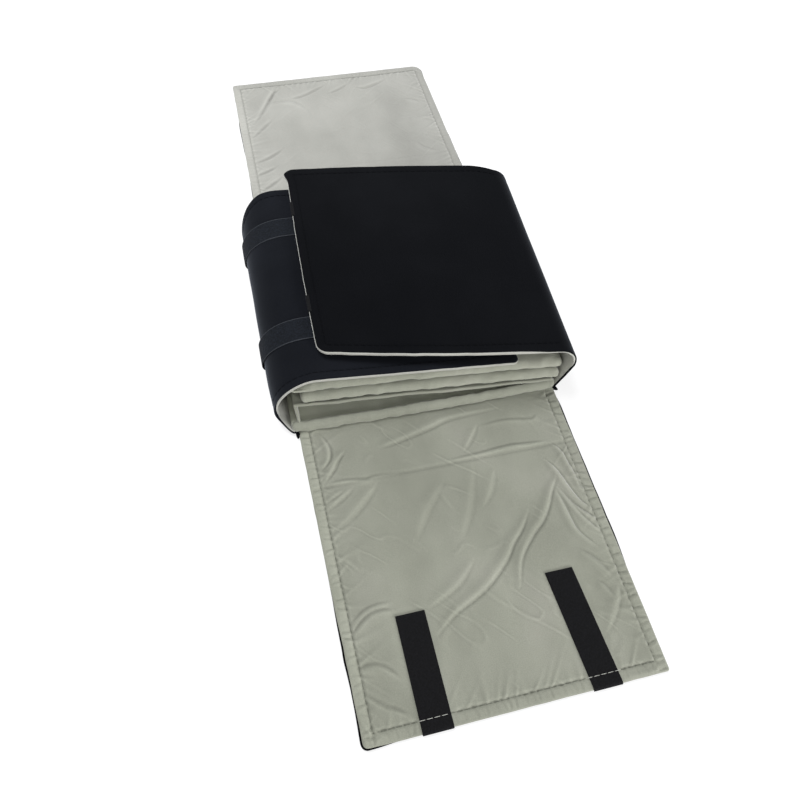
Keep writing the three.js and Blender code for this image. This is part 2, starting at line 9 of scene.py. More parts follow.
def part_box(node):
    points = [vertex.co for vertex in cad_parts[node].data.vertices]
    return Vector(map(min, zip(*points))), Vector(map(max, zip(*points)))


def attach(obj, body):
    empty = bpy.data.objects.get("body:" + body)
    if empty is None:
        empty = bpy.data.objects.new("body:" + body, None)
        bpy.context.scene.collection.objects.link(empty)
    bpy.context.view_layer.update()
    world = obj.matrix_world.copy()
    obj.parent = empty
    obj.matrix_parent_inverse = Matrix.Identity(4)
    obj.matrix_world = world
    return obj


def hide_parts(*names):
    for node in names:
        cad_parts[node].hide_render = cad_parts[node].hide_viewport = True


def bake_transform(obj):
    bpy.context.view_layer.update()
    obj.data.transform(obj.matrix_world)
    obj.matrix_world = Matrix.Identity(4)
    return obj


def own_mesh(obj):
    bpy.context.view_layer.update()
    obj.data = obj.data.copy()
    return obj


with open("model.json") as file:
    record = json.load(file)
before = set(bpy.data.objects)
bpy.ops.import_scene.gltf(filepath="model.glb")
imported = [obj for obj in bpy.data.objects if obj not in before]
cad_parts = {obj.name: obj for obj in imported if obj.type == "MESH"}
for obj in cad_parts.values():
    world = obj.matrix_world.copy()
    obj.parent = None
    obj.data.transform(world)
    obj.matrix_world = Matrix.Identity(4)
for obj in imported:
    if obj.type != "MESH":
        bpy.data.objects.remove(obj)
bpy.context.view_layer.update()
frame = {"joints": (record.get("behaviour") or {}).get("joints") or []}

# Looks of a velvet jewelry roll. Each ply of cloth is a thin shell laid over its panel, with turned edges,
# puckered seams and folds. Lengths below are millimetres.
MM = 0.001


def box_mm(node):
    low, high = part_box(node)
    return np.array(low) / MM, np.array(high) / MM


def joint_of(name):
    return next(j for j in frame["joints"] if j["name"] == name)


def hinge(name):
    return np.array(joint_of(name)["pos_m"]) / MM


# Camera of the photograph
CAMERA_PLACE = (-99.02, -315.94, 430.0)
CAMERA_RIGHT = (0.96872, -0.24364, 0.04720)
CAMERA_UP = (0.19208, 0.85651, 0.47906)
CAMERA_LENS = 27.264
CAMERA_SENSOR = 36
CAMERA_NEAR = 0.01

# Plies
PLY = 0.55  # thickness of a shell that stands for one ply
PLY_NODES = {"lining": ("lining", "wadding"), "outer": ("outer",)}  # solids that each ply stands for
PANEL = box_mm("base_lining")[1][2]
FLAP = box_mm("front_flap_lining")[1][2]
BACK_LIFT = box_mm("back_flap_outer")[0][2]
HIDDEN_SEAM = 4  # how far an outer ply reaches in under the base
COVERED_SEAM = 3  # how far the lining of a flap reaches in over the base
RIM = 0.14  # thickness that is left at a rolled edge
CELL = 1.8  # spacing of a shell's points
FINE_CELL = 0.8  # and where its wrinkles show
ROLL_STEPS = np.array([0, 0.12, 0.35, 0.7, 1.1, 1.6, 2.4, 3.5])  # distances from a rolled edge
TURN_STEPS = np.array([0, 0.35, 0.7, 1.05, 1.4, 1.75, 2.1, 2.5, 3.0, 3.7, 4.6])  # and from a turned one

# Stitches
STITCH_INSET = 7.8
STITCH_LENGTH = 4.1
STITCH_STEP = 4.9
STITCH_WIDTH = 0.36
STITCH_LIFT = 0.2
SUNK_STITCH = 0.5  # share of a stitch that shows where the thread sinks in

# Base and flaps
BASE_LOW, BASE_HIGH = box_mm("base_outer")
BASE_FRONT = -107.2  # on the middle line
BASE_SEAM = 0.8
BASE_CORNER = 2
BASE_CELL = 2.5
BASE_ROLL = 1.2  # radius of the roll along its lining
BASE_TURNED = 0.75  # how far the turned edge of its outer ply stands off the table
BASE_MARGIN = 3.4  # bare rim of the base's outer ply, under the linings of the flaps
CORNER_EARS = (4.8, 3.6)  # how far the base's turned front corners stick out
CORNER_SPREAD = 3.4  # and the right one sideways
FRONT_SHEAR = 0.0236  # the front fold runs askew: how far forward for each millimetre to the right
FLAP_REACH = box_mm("back_flap_outer")[1][1]
FLAP_SIDES = {"front": ((-106.2, 104), (-103.7, 102.8)), "back": ((-107, 107), (-106.6, 106.6))}
FLAP_CORNERS = {"front": (3.5, 2), "back": (3, 10)}

# Tapes: those of the flaps by their middle at the free end and at the inner end, and their length
TAPE_WIDTH = 20.5
TAPE_THICK = 0.8
TAPE_LENGTH = 74
TAPE_CELL = 1.3
TAPE_ROLL = 0.4  # radius of the roll along its long edges
TAPE_BORDER = 0.7  # width of the border that has a look of its own
FLAP_TAPES = {
    "front": {"left": (-56, -56, 72), "right": (58.5, 53.5, 78)},
    "back": {"left": (-56, -56, TAPE_LENGTH), "right": (56, 56, TAPE_LENGTH)},
}

# Leaves and pocket: front and skew of each leaf's edge, its length, level, slope and seed
LEAF_THICK = 7.6
LEAF_EDGE = 3.6
LEAF_CORNER = 3.5
LEAF_CROWN = 0.5
LEAF_PULL = 1.2  # how far its edges are drawn in between the corners
LEAF_LEAN = 0.5  # how far its front edge leans back for each millimetre of height
LEAF_CELL = 1.4
LEAF_SHIFTS = {"bottom_leaf": -1.5, "middle_leaf": 2.2, "top_leaf": -1.5}  # of each leaf's left end
LEAF_PRESSED = 4.2  # how far the bend of the left wing presses the top leaf down at its end
LIP = 4.6  # depth of the soft lip along the front of the bottom leaf
LIP_DROP = 2.4  # how far the floor of the pocket lies below it
LIP_BOW = 2.9  # how far it bows out over the fold of the front flap
SOLE_EDGE = 1.6  # depth of the roll along its under side
WEDGE_RIGHT = 103
WEDGE_SLOPE = 0.0523
BOTTOM_LEAF_Z = PANEL + 0.3
SHEET_Z = BOTTOM_LEAF_Z + LEAF_THICK + 0.3
SHEET_THICK = 1.2
SHEET_LENGTH = 200
SHEET_CELL = 1.6
SHEET_ROLL = 1.3
SHEET_OVERHANG = 2.6  # how far the sheet sticks out at the left
WEB_THICK = 2.4
WEB_SHIFT = -3
WEB_SLANT = 9  # how far forward the foot of the side web stands
BINDING_THICK = 0.8
LEAVES = {
    "bottom_leaf": (-1.6, 6, 214.4, BOTTOM_LEAF_Z, 0, 111),
    "middle_leaf": (-1, 10, 205, SHEET_Z + 1.5, WEDGE_SLOPE, 121),
    "top_leaf": (0, 10, 203, SHEET_Z + 9.4, WEDGE_SLOPE, 131),
}

# Left wing: its edges are given at the root, past the bend and at the end
LEFT_WIDTH = 199.5
LEFT_BULGE = 11
LEFT_SIDE_Z = 14  # height at which it swells the most
LEFT_DRAW = 1.2  # how much less it swells at its front edge
LEFT_DRAW_RUN = 45
LEFT_SPLAY = math.radians(46)
LEFT_LINING_Z = 28.3
LEFT_BEND_X = -86
LEFT_REACH = 72
LEFT_ROUND = 6
LEFT_FRONT = (-104.5, -85.7, -99)
LEFT_BACK = (88, 117.8, 107)
LEFT_ROOT_TURN = 3.0  # flat distance over which the outer ply turns up at the root
LEFT_EDGE_LIFT = 1.4  # how far the front edge stands off the top leaf
LEFT_TAPES = {"front": -36.4, "back": 71}
LEFT_TAPE_START = 0.36  # share of the bend at which the loop tapes begin
LEFT_TAPE_END = -25
LEFT_TAPE_GAP = 0.1
TAPE_FLARE = 1.3  # how far the lower end of a loop tape stands off the bend
CIRCLE_HANDLE = 0.5523

# Right wing: pairs hold for its front and its back edge
WALL_ROOT = np.array([BASE_HIGH[0] + 0.3, PANEL])
WALL_HEIGHT = 32
FOLD_LENGTH = 20
FOLD_RADIUS = 10.2
FOLD_REACH = (11, 20.5)
WALL_ENDS = (-109.2, 94)
FOLD_ENDS = (-103, 99.8)
FREE_X = (-81, -73.2)
FREE_ENDS = (-64.2, 135.8)
EDGE_BOW = (-2.4, 2)
FREE_BOW = 1.3
DOG_EAR = 2.6  # how far the back corner of the free edge sticks out
SHOULDER = 5.5
SHOULDER_RUN = 22
COVER_ROUND = 8
# Painted light on the wall's lining along its front edge, where it lies in shade
WALL_PAINTED_LIGHT = 0.7  # tone of the wall's lining along its front edge
COVER_Z = box_mm("right_cover_outer")[1][2] - PANEL
COVER_WIDTH = FREE_ENDS[1] - FREE_ENDS[0]
RIGHT_TAPES = {"front": 47.2, "back": 150.5}
COVER_TAPE_THICK = 0.8 * TAPE_THICK
TURNED_TAPE = 0.78  # share of their width at the ends that are turned round the edge


def link(thing):
    bpy.context.scene.collection.objects.link(thing)
    return thing


def make_camera():
    camera = link(bpy.data.objects.new("camera", bpy.data.cameras.new("camera")))
    camera.data.lens = CAMERA_LENS
    camera.data.sensor_width = CAMERA_SENSOR
    camera.data.clip_start = CAMERA_NEAR
    right, up = np.array(CAMERA_RIGHT), np.array(CAMERA_UP)
    columns = (right, up, np.cross(right, up), np.array(CAMERA_PLACE) * MM)
    camera.matrix_world = Matrix([*np.stack(columns, axis=1).tolist(), (0, 0, 0, 1)])
    bpy.context.scene.camera = camera


make_camera()


# Smooth functions

def mix(low, high, share):
    return low + (high - low) * share


def ease(low, high, value):
    t = np.clip((value - low) / (high - low), 0, 1)
    return t * t * (3 - 2 * t)


def fade(low, high, value):
    return 1 - ease(low, high, value)


def bell(value, width):
    return np.exp(-((value / width) ** 2))


def hump(share):
    return 4 * share * (1 - share)


LATTICE = 97


def noise(x, y, cell, seed):
    """Smooth noise from -1 to 1 on a lattice of that cell size."""
    lattice = np.random.default_rng(seed).uniform(-1, 1, (LATTICE, LATTICE))
    gx, gy = np.asarray(x) / cell, np.asarray(y) / cell
    ix, iy = np.floor(gx).astype(int), np.floor(gy).astype(int)
    sx, sy = ease(0, 1, gx - ix), ease(0, 1, gy - iy)

    def corner(i, j):
        return lattice[(ix + i) % LATTICE, (iy + j) % LATTICE]

    return mix(mix(corner(0, 0), corner(1, 0), sx), mix(corner(0, 1), corner(1, 1), sx), sy)


def spline(points, count=28):
    """Points along a smooth curve through the given ones."""
    p = np.array(points, float)
    padded = np.vstack([2 * p[0] - p[1], p, 2 * p[-1] - p[-2]])
    t = np.linspace(0, len(p) - 1, count)
    k = np.minimum(t.astype(int), len(p) - 2)
    f = (t - k)[:, None]
    a, b, c, d = (padded[k + i] for i in range(4))
    cubic = (2 * a - 5 * b + 4 * c - d) * f**2 + (3 * b - a - 3 * c + d) * f**3
    return 0.5 * (2 * b + (c - a) * f + cubic)


FOLD_HEIGHT = 1.4
FOLD_VALLEY = 0.38
SOFT_FLANK, STEEP_FLANK = 1.9, 0.95


def fold(x, y, points, width, height):
    """A fold along a curve: a ridge that falls steeply into a valley on its right and softly on its left,
    and grows thin and low towards both ends."""
    line = spline(points)
    start, step = line[:-1], np.diff(line, axis=0)
    best = np.full(np.shape(x), np.inf)
    side, share = np.zeros(np.shape(x)), np.zeros(np.shape(x))
    for k, (sx, sy) in enumerate(step):
        dx, dy = x - start[k, 0], y - start[k, 1]
        t = np.clip((dx * sx + dy * sy) / np.hypot(sx, sy) ** 2, 0, 1)
        ox, oy = dx - t * sx, dy - t * sy
        distance = np.hypot(ox, oy)
        nearer = distance < best
        best = np.where(nearer, distance, best)
        side = np.where(nearer, np.sign(ox * sy - oy * sx) * distance, side)
        share = np.where(nearer, (k + t) / len(step), share)
    taper = np.sin(math.pi * np.clip(share, 0.02, 0.98)) ** 0.8
    ends = bell(np.maximum(best - np.abs(side), 0), width)
    spread = width * (0.5 + 0.5 * taper)
    ridge = np.exp(-np.abs(side / np.where(side > 0, SOFT_FLANK * spread, STEEP_FLANK * spread)) ** 1.8)
    valley = FOLD_VALLEY * bell(side + 1.7 * spread, 0.7 * spread)
    return FOLD_HEIGHT * height * taper * ends * (ridge - valley)


def creases(x, y, long, wide, angle, seed):
    """Thin ridges that wander over the cloth, mostly along one direction, and break off."""
    u = x * math.cos(angle) + y * math.sin(angle)
    v = y * math.cos(angle) - x * math.sin(angle)
    line = noise(u / long, v / wide, 1, seed)
    return bell(line, 0.13) * ease(-0.1, 0.6, noise(u / long, v / long, 0.8, seed + 1))


# Shells

def xyz(x, y, z):
    return np.stack(np.broadcast_arrays(x, y, z), -1)


def grid_normals(points):
    across = np.cross(np.gradient(points, axis=0), np.gradient(points, axis=1))
    return across / np.maximum(np.linalg.norm(across, axis=2, keepdims=True), 1e-12)


def edge_stations(length, step, fine=(True, True), near=ROLL_STEPS):
    """Distances from 0 to length, close together towards the fine ends."""
    low = near if fine[0] else near[:1]
    high = length - (near if fine[1] else near[:1])[::-1]
    count = max(2, int(round((high[0] - low[-1]) / step)) + 1)
    return np.concatenate([low, np.linspace(low[-1], high[0], count)[1:-1], high])


def corner_inset(radius, distance):
    inside = np.clip(radius - distance, 0, radius)
    return radius - np.sqrt(radius**2 - inside**2)


def edge_distance(a, width, e, radius):
    """Distance to the nearer side or end of a strip with round corners."""
    side = np.minimum(a, width - a)
    inside = radius - np.hypot(np.clip(radius - side, 0, None), np.clip(radius - e, 0, None))
    cornered = (side < radius) & (e < radius)
    return np.clip(np.where(cornered, inside, np.minimum(side, e)), 0, None)


def rolled(distance, radius):
    q = np.clip(distance / radius, 0, 1)
    return np.sqrt(1 - (1 - q) ** 2)


def mesh_object(name, points, faces, normals=None):
    mesh = bpy.data.meshes.new(name)
    mesh.from_pydata((np.asarray(points) * MM).tolist(), [], [list(map(int, f)) for f in faces])
    mesh.polygons.foreach_set("use_smooth", [True] * len(mesh.polygons))
    if normals is not None:
        mesh.normals_split_custom_set(normals.tolist())
    return link(bpy.data.objects.new(name, mesh))


def shell(name, near, far, rows=slice(None), tone=None):
    """A closed shell between two grids of points. Near is the side that shows, and a value for each point
    paints light and shade on it.
    """
    near_normals, far_normals = grid_normals(near)[rows], grid_normals(far)[rows]
    near, far = near[rows], far[rows]
    n, m = near.shape[:2]
    index = np.arange(n * m).reshape(n, m)
    quads = np.stack([index[:-1, :-1], index[1:, :-1], index[1:, 1:], index[:-1, 1:]], -1).reshape(-1, 4)
    rim = np.concatenate([index[0, :-1], index[:-1, -1], index[-1, :0:-1], index[:0:-1, 0]])
    after = np.roll(rim, -1)
    walls = np.stack([rim, after, after + n * m, rim + n * m], -1)
    if np.sum(near_normals * (near - far)) < 0:
        near_normals, far_normals = -near_normals, -far_normals
        quads, walls = quads[:, ::-1], walls[:, ::-1]
    points = np.concatenate([near.reshape(-1, 3), far.reshape(-1, 3)])
    far_quads = quads[:, ::-1]
    corners = points[walls]
    wall_normals = np.cross(corners[:, 2] - corners[:, 0], corners[:, 3] - corners[:, 1])
    wall_normals /= np.maximum(np.linalg.norm(wall_normals, axis=1, keepdims=True), 1e-12)
    normals = np.concatenate([
        near_normals.reshape(-1, 3)[quads.ravel()],
        -far_normals.reshape(-1, 3)[far_quads.ravel()],
        np.repeat(wall_normals, 4, axis=0),
    ])
    piece = mesh_object(name, points, np.concatenate([quads, far_quads + n * m, walls]), normals)
    # painted light and shade for each point
    if tone is not None:
        values = np.tile(tone[rows].ravel(), 2).astype(np.float32)
        piece.data.attributes.new("tone", "FLOAT", "POINT").data.foreach_set("value", values)
    return piece


def finish_piece(piece, look, motion, *nodes):
    """Look is a material and its slot. Motion is a body, to which the piece is attached, or two bodies and
    the points between which the cloth turns, with which the piece only stays where it lies. Nodes are the
    solids that the piece stands for."""
    material, slot = look
    piece.data.materials.append(material)
    if nodes:
        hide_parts(*nodes)
    if isinstance(motion, str):
        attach(piece, motion)
    else:
        first, second, start, end = motion
        np.array(start) * MM
        np.array(end) * MM
        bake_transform(piece)
    return piece


def finish_ply(cloth, part, ply, look, motion, width, length, held, *rests_on):
    finish_piece(cloth, look, motion, *(f"{part}_{node}" for node in PLY_NODES[ply]))


def lay_in_two(ply, faces, look, parts, split, motions, width, lengths, held, *rests_on, tone=None):
    """Lays a ply that turns on two fold lines, as two cloths that meet at the split row."""
    spans = (slice(0, split + 1), slice(split, None))
    for part, rows, motion, length in zip(parts, spans, motions, lengths):
        cloth = shell(f"{part}_{ply}_cloth", *faces, rows, tone)
        below = [place.format(part) for place in rests_on]
        finish_ply(cloth, part, ply, look, motion, width, length, held, *below)


# Materials

def grey(value):
    return [value, value, value, 1]


def linear(colour):
    """A colour written in the usual 0 to 255 values, for a shader socket."""
    parts = [c / 255 for c in colour]
    return [p / 12.92 if p <= 0.04045 else ((p + 0.055) / 1.055) ** 2.4 for p in parts] + [1]


def set_sockets(node, sockets):
    """Each socket gets a value, or a link from another node's output."""
    for key, value in sockets.items():
        if isinstance(value, bpy.types.NodeSocket):
            node.id_data.links.new(value, node.inputs[key])
        else:
            node.inputs[key].default_value = value


def add_node(tree, kind, sockets, output=0, **settings):
    node = tree.nodes.new("ShaderNode" + kind)
    for name, value in settings.items():
        setattr(node, name, value)
    set_sockets(node, sockets)
    return node.outputs[output]


def new_material(name, roughness, sheen, sheen_roughness, sheen_tint, specular):
    material = bpy.data.materials.new(name)
    material.use_nodes = True
    shader = material.node_tree.nodes["Principled BSDF"]
    set_sockets(shader, {
        "Roughness": roughness,
        "Sheen Weight": sheen,
        "Sheen Roughness": sheen_roughness,
        "Sheen Tint": sheen_tint,
        "Specular IOR Level": specular,
    })
    return material, material.node_tree, shader


def add_noise(tree, scale, detail, stretch=(1, 1, 1)):
    place = add_node(tree, "TexCoord", {}, "Object")
    mapped = add_node(tree, "Mapping", {"Vector": place, "Scale": stretch})
    return add_node(tree, "TexNoise", {"Vector": mapped, "Scale": scale, "Detail": detail}, "Fac")


def add_ramp(tree, factor, *stops):
    colour = add_node(tree, "ValToRGB", {"Fac": factor}, "Color")
    elements = colour.node.color_ramp.elements
    while len(elements) < len(stops):
        elements.new(0.5)
    for element, (position, value) in zip(elements, stops):
        element.position = position
        element.color = value
    return colour


def add_product(tree, first, second):
    """Product of two colours, which a mix node takes in at sockets 6 and 7 and gives out at 2."""
    sockets = {0: 1.0, 6: first, 7: second}
    return add_node(tree, "Mix", sockets, 2, data_type="RGBA", blend_type="MULTIPLY")


def add_bump(tree, height, depth_mm, strength):
    return add_node(tree, "Bump", {"Height": height, "Distance": depth_mm * MM, "Strength": strength})


VELVET_ROUGHNESS, TAPE_ROUGHNESS, THREAD_ROUGHNESS = 0.95, 0.85, 0.7
PATCH_SCALE, STREAK_SCALE, GRAIN_SCALE, TWIST_SCALE = 14, 42, 1500, 2600  # of noise, for each metre
STREAK_STRETCH = (1, 0.35, 1)  # streaks are drawn out along the roll
COOL = [0.8, 0.88, 1, 1]
TAPE_TINT = [0.8, 0.85, 1, 1]


def velvet(name, slot, tones, pile, sheen, sheen_tint, specular):
    """Short pile: broad patches where the nap lies another way, brushed streaks and a fine grain. A mesh may
    give a value for each point, by which painted light makes the cloth there paler and painted shade darker."""
    material, tree, shader = new_material(name, VELVET_ROUGHNESS, sheen, 0.4, sheen_tint, specular)
    patches = add_ramp(tree, add_noise(tree, PATCH_SCALE, 3), *zip((0.36, 0.52, 0.68), map(linear, tones)))
    streaks_and_painted_light = add_noise(tree, STREAK_SCALE, 4, STREAK_STRETCH)
    streaks = add_ramp(tree, streaks_and_painted_light, (0.3, grey(0.90)), (0.7, grey(1)))
    grain = add_noise(tree, GRAIN_SCALE, 2)
    speckle = add_ramp(tree, grain, (0.35, grey(pile)), (0.65, grey(1)))
    # painted light and shade that the mesh gives for each point
    given = add_node(tree, "Attribute", {}, "Fac", attribute_name="tone")
    tone = add_node(tree, "Math", {0: given, 1: 1}, operation="ADD")
    colour = add_product(tree, add_product(tree, add_product(tree, patches, streaks), speckle), tone)
    set_sockets(shader, {"Base Color": colour, "Normal": add_bump(tree, grain, 0.25, 0.5)})
    return material, slot


def tape_material(slot, dark, pale, scale, depth_mm):
    """Fastening tape: a dense ground of hooks or loops."""
    material, tree, shader = new_material(slot, TAPE_ROUGHNESS, 0.02, 0.5, TAPE_TINT, 0.1)
    ground = add_noise(tree, scale, 4)
    colour = add_ramp(tree, ground, (0.35, linear(dark)), (0.7, linear(pale)))
    set_sockets(shader, {"Base Color": colour, "Normal": add_bump(tree, ground, depth_mm, 0.8)})
    return material, slot


def thread_material(name, slot, dark, pale, shine=0.25):
    material, tree, shader = new_material(name, THREAD_ROUGHNESS, shine / 4, 0.4, grey(1), shine)
    twist = add_noise(tree, TWIST_SCALE, 2)
    colour = add_ramp(tree, twist, (0.3, linear(dark)), (0.7, linear(pale)))
    set_sockets(shader, {"Base Color": colour, "Normal": add_bump(tree, twist, 0.1, 0.6)})
    return material, slot


GREY_TONES = ((143, 145, 132), (149, 151, 138), (155, 156, 144))
# A paler, more neutral copy of the grey velvet, with painted sheen and light, for the back flap and the
# linings of the wings
PAINTED_SHEEN_GREY_TONES = ((168, 168, 161), (174, 174, 167), (180, 180, 173))
BLACK_TONES = ((8, 9, 12), (10, 11, 14), (13, 14, 17))
# A paler copy of the black velvet, with painted light, for the outer ply of the left wing
PAINTED_LIGHT_BLACK_TONES = ((18, 20, 25), (21, 23, 28), (25, 27, 33))
GREY = velvet("grey_velvet", "grey_velvet", GREY_TONES, 0.88, 0.8, grey(1), 0.12)
PAINTED_SHEEN_GREY = velvet("grey_velvet_painted_sheen", "grey_velvet", PAINTED_SHEEN_GREY_TONES, 0.90, 0.8, grey(1), 0.12)
BLACK = velvet("black_velvet", "black_velvet", BLACK_TONES, 0.80, 0.09, COOL, 0.05)
PAINTED_LIGHT_BLACK = velvet("black_velvet_painted_light", "black_velvet", PAINTED_LIGHT_BLACK_TONES, 0.80, 0.18, COOL, 0.05)
HOOK = tape_material("hook_tape", (12, 12, 13), (20, 20, 22), 900, 0.5)
LOOP = tape_material("loop_tape", (14, 17, 21), (25, 29, 36), 700, 0.8)
SELVEDGE = thread_material("tape_edge", "loop_tape", (31, 35, 40), (43, 47, 53))
# One grey thread in three copies: darker with painted shade where it sinks into the front lining, paler on
# the back flap like that flap's painted sheen, and pale with painted light where it crosses the tapes
SHADED_THREAD = thread_material("thread_painted_shade", "grey_velvet", (92, 94, 84), (122, 124, 112))
SHEEN_THREAD = thread_material("thread_painted_sheen", "grey_velvet", (142, 144, 136), (160, 162, 154))
LIT_THREAD = thread_material("thread_painted_light", "grey_velvet", (165, 166, 158), (198, 199, 192))
BLACK_THREAD = thread_material("black_thread", "black_velvet", (9, 10, 12), (13, 14, 17), 0.02)


# Panels: a grid of stations over the flat cloth, a place for each point and its relief

HEM_SWELL = 0.25
EDGE_RIPPLE = 0.15
GROOVE_DEPTH, GROOVE_WIDTH = 0.75, 0.9  # of the sewn line
FILLING_RISE, FILLING_RUN = 0.4, 7  # how the filled cloth rises inside it
# Painted highlight on the ridges of the cloth and painted shade in its valleys
BEND_SHADE = 0.25  # tone for each unit of bend
BEND_TONES = (-0.22, 0.17)  # darkest and palest


class Panel:
    """Cloth with a root, two sides and a free end. Place maps (across, along, depth) to points, where
    depth is counted from the lining outwards. Along and the gap to the end are given for each row. The
    grid runs on past the outline by the radius of the rim, round which the plies are turned and sewn."""

    def __init__(self, width, thick, along, to_end, rounds, place, cell=CELL, along_per_mm=1.0, flat=None):
        self.width, self.thick, self.rounds, self.place = width, thick, rounds, place
        self.rim = rim = thick / 2
        self.stations = edge_stations(width + 2 * rim, cell, near=TURN_STEPS) - rim
        self.along = along
        inset = [corner_inset(r + rim, to_end + rim)[:, None] for r in rounds]
        share = (self.stations + rim) / (width + 2 * rim)
        self.a = inset[0] - rim + share * (width + 2 * rim - inset[0] - inset[1])
        rows = (along, to_end, along if flat is None else flat)
        self.b, self.e, self.flat = (np.repeat(r[:, None], len(self.stations), axis=1) for r in rows)
        self.measure_edge(along_per_mm)

    def measure_edge(self, along_per_mm):
        """Distance to the outline, negative outside it, and the way inwards across and along the cloth."""
        left = self.a < self.width / 2
        side = np.where(left, self.a, self.width - self.a)
        radius = np.where(left, *self.rounds)
        u, v = radius - side, radius - self.e
        cornered = (u > 0) & (v > 0)
        arm = np.where(cornered, np.hypot(u, v), 1)
        nearer_side = side < self.e
        self.distance = np.where(cornered, radius - arm, np.minimum(side, self.e))
        inward_side = np.where(cornered, u / arm, nearer_side)
        inward_end = np.where(cornered, v / arm, ~nearer_side)
        self.inward = np.where(left, 1, -1) * inward_side, -along_per_mm * inward_end

    def around(self, left, right, end):
        """A value for each point, from those that hold along the left side, the right side and the end."""
        gaps = (self.a, self.width - self.a, self.e)
        weights = [np.exp(-np.clip(gap, -2, 200) / 4) for gap in gaps]
        return sum(w * v for w, v in zip(weights, (left, right, end))) / sum(weights)

    def faces(self, turn, relief, widen, is_outer):
        """Both faces of a ply. Its edge turns through an angle round the rim, and relief raises it."""
        found = []
        angle = turn * np.clip((self.rim - self.distance) / (2 * self.rim), 0, 1)
        raised = relief * ease(0, 2.5, self.distance)
        for radius in (self.rim, self.rim - PLY):
            inset = self.rim - radius * np.sin(angle)
            depth = self.rim - radius * np.cos(angle) - raised
            shift = np.where(self.distance < self.rim, inset - self.distance, 0)
            shift -= widen * bell(np.clip(self.distance, 0, None), 3)
            across, along = self.a + shift * self.inward[0], self.b + shift * self.inward[1]
            found.append(self.place(across, along, self.thick - depth if is_outer else depth))
        return found

    def lining(self, turn, relief):
        return self.faces(turn, relief, self.ripple(), False)

    def outer(self, turn, relief, spread=0):
        """The outer ply takes up the rest of the half turn. Spread lets its edge out past the lining."""
        return self.faces(math.pi - turn, relief, self.ripple() + spread, True)

    def ripple(self):
        return EDGE_RIPPLE * noise(self.a, self.flat, 8, 3)

    def at(self, points, flat):
        """Points of a laid surface at flat coordinates, between the grid's own points."""
        i = np.interp(flat[:, 1], self.along, np.arange(len(self.along)))
        j = np.interp(flat[:, 0], self.stations, np.arange(len(self.stations)))
        i0 = np.minimum(i.astype(int), len(self.along) - 2)
        j0 = np.minimum(j.astype(int), len(self.stations) - 2)
        fi, fj = (i - i0)[:, None], (j - j0)[:, None]
        low = mix(points[i0, j0], points[i0, j0 + 1], fj)
        return mix(low, mix(points[i0 + 1, j0], points[i0 + 1, j0 + 1], fj), fi)

    def painted_fold_light(self, relief):
        """Painted light on the folds: painted highlight on a ridge and painted shade in a valley, by how the
        relief bends.
        """
        curve = 0
        for axis, stations in ((0, self.flat[:, 0]), (1, self.stations)):
            curve += np.gradient(np.gradient(relief, stations, axis=axis), stations, axis=axis)
        past_seam = ease(STITCH_INSET - 1, STITCH_INSET + 2, self.distance)
        inside = ease(1.5, 3, self.distance) * (0.5 + 0.5 * past_seam)
        return np.clip(-BEND_SHADE * curve * inside, *BEND_TONES)

    def painted_hem_light(self, left, right, end):
        """Painted light and shade on the turned hem, from a value for the left side, the right side and the
        end.
        """
        hem = fade(STITCH_INSET - 0.8, STITCH_INSET + 0.8, self.distance)
        return hem * self.around(left, right, end)

    def puckers(self, seed, strength=1.0, hems=(1, 1, 1)):
        """Gathers of the seam along both sides and the end, the swell of the hem and the sewn groove."""
        relief = 0
        sides = ((self.flat, self.a), (self.flat, self.width - self.a), (self.a, self.e))
        for number, (s, q) in enumerate(sides):
            relief += hems[number] * hem_wrinkles(s, q, seed + number)
            relief += gathers(s, q, seed + 10 + number)
        hem = HEM_SWELL * np.sin(math.pi * np.clip(self.distance / STITCH_INSET, 0, 1))
        inner = np.clip(self.distance - STITCH_INSET, 0, None)
        filling = FILLING_RISE * (1 - np.exp(-inner / FILLING_RUN))
        return strength * relief + hem + self.groove(GROOVE_DEPTH, GROOVE_WIDTH) + filling

    def groove(self, depth, width):
        return -depth * bell(self.distance - STITCH_INSET, width)


def hem_wrinkles(s, q, seed):
    """Short sharp creases across the hem, between the sewn line and the edge. S runs along the edge."""
    rng = np.random.default_rng(seed)
    relief = np.zeros(np.shape(s))
    at, last = np.min(s), np.max(s)
    while at < last:
        depth, width, slant = rng.uniform(0.35, 1.0), rng.uniform(0.6, 0.9), rng.uniform(-0.3, 0.3)
        line = s - at - slant * (STITCH_INSET - q)
        relief += 0.45 * depth * bell(line - 2.2 * width, 1.3) - depth * bell(line, width)
        at += rng.uniform(4.0, 8.5)
    return relief * ease(0, 2.5, q) * fade(STITCH_INSET - 0.5, STITCH_INSET + 1.5, q)


def gathers(s, q, seed):
    """Longer wrinkles that run from the sewn line into the cloth and die out."""
    rng = np.random.default_rng(seed)
    relief = np.zeros(np.shape(s))
    inner = np.clip(q - STITCH_INSET, 0, None)
    at, last = np.min(s), np.max(s)
    while at < last:
        height, width = rng.uniform(0.4, 1.15), rng.uniform(1.0, 1.8)
        slant, reach = rng.uniform(-0.9, 0.9), rng.uniform(3, 15)
        line = s - at - slant * inner
        relief += height * bell(line, width * (1 + inner / 20)) * np.exp(-inner / reach)
        at += rng.uniform(4, 9)
    return relief * ease(STITCH_INSET - 0.5, STITCH_INSET + 1.2, q)


# Stitches

ROD_RINGS = ((-1, 0.25), (-0.8, 0.75), (-0.3, 1), (0.3, 1), (0.8, 0.75), (1, 0.25))  # place and size
ROD_SIDES = 6


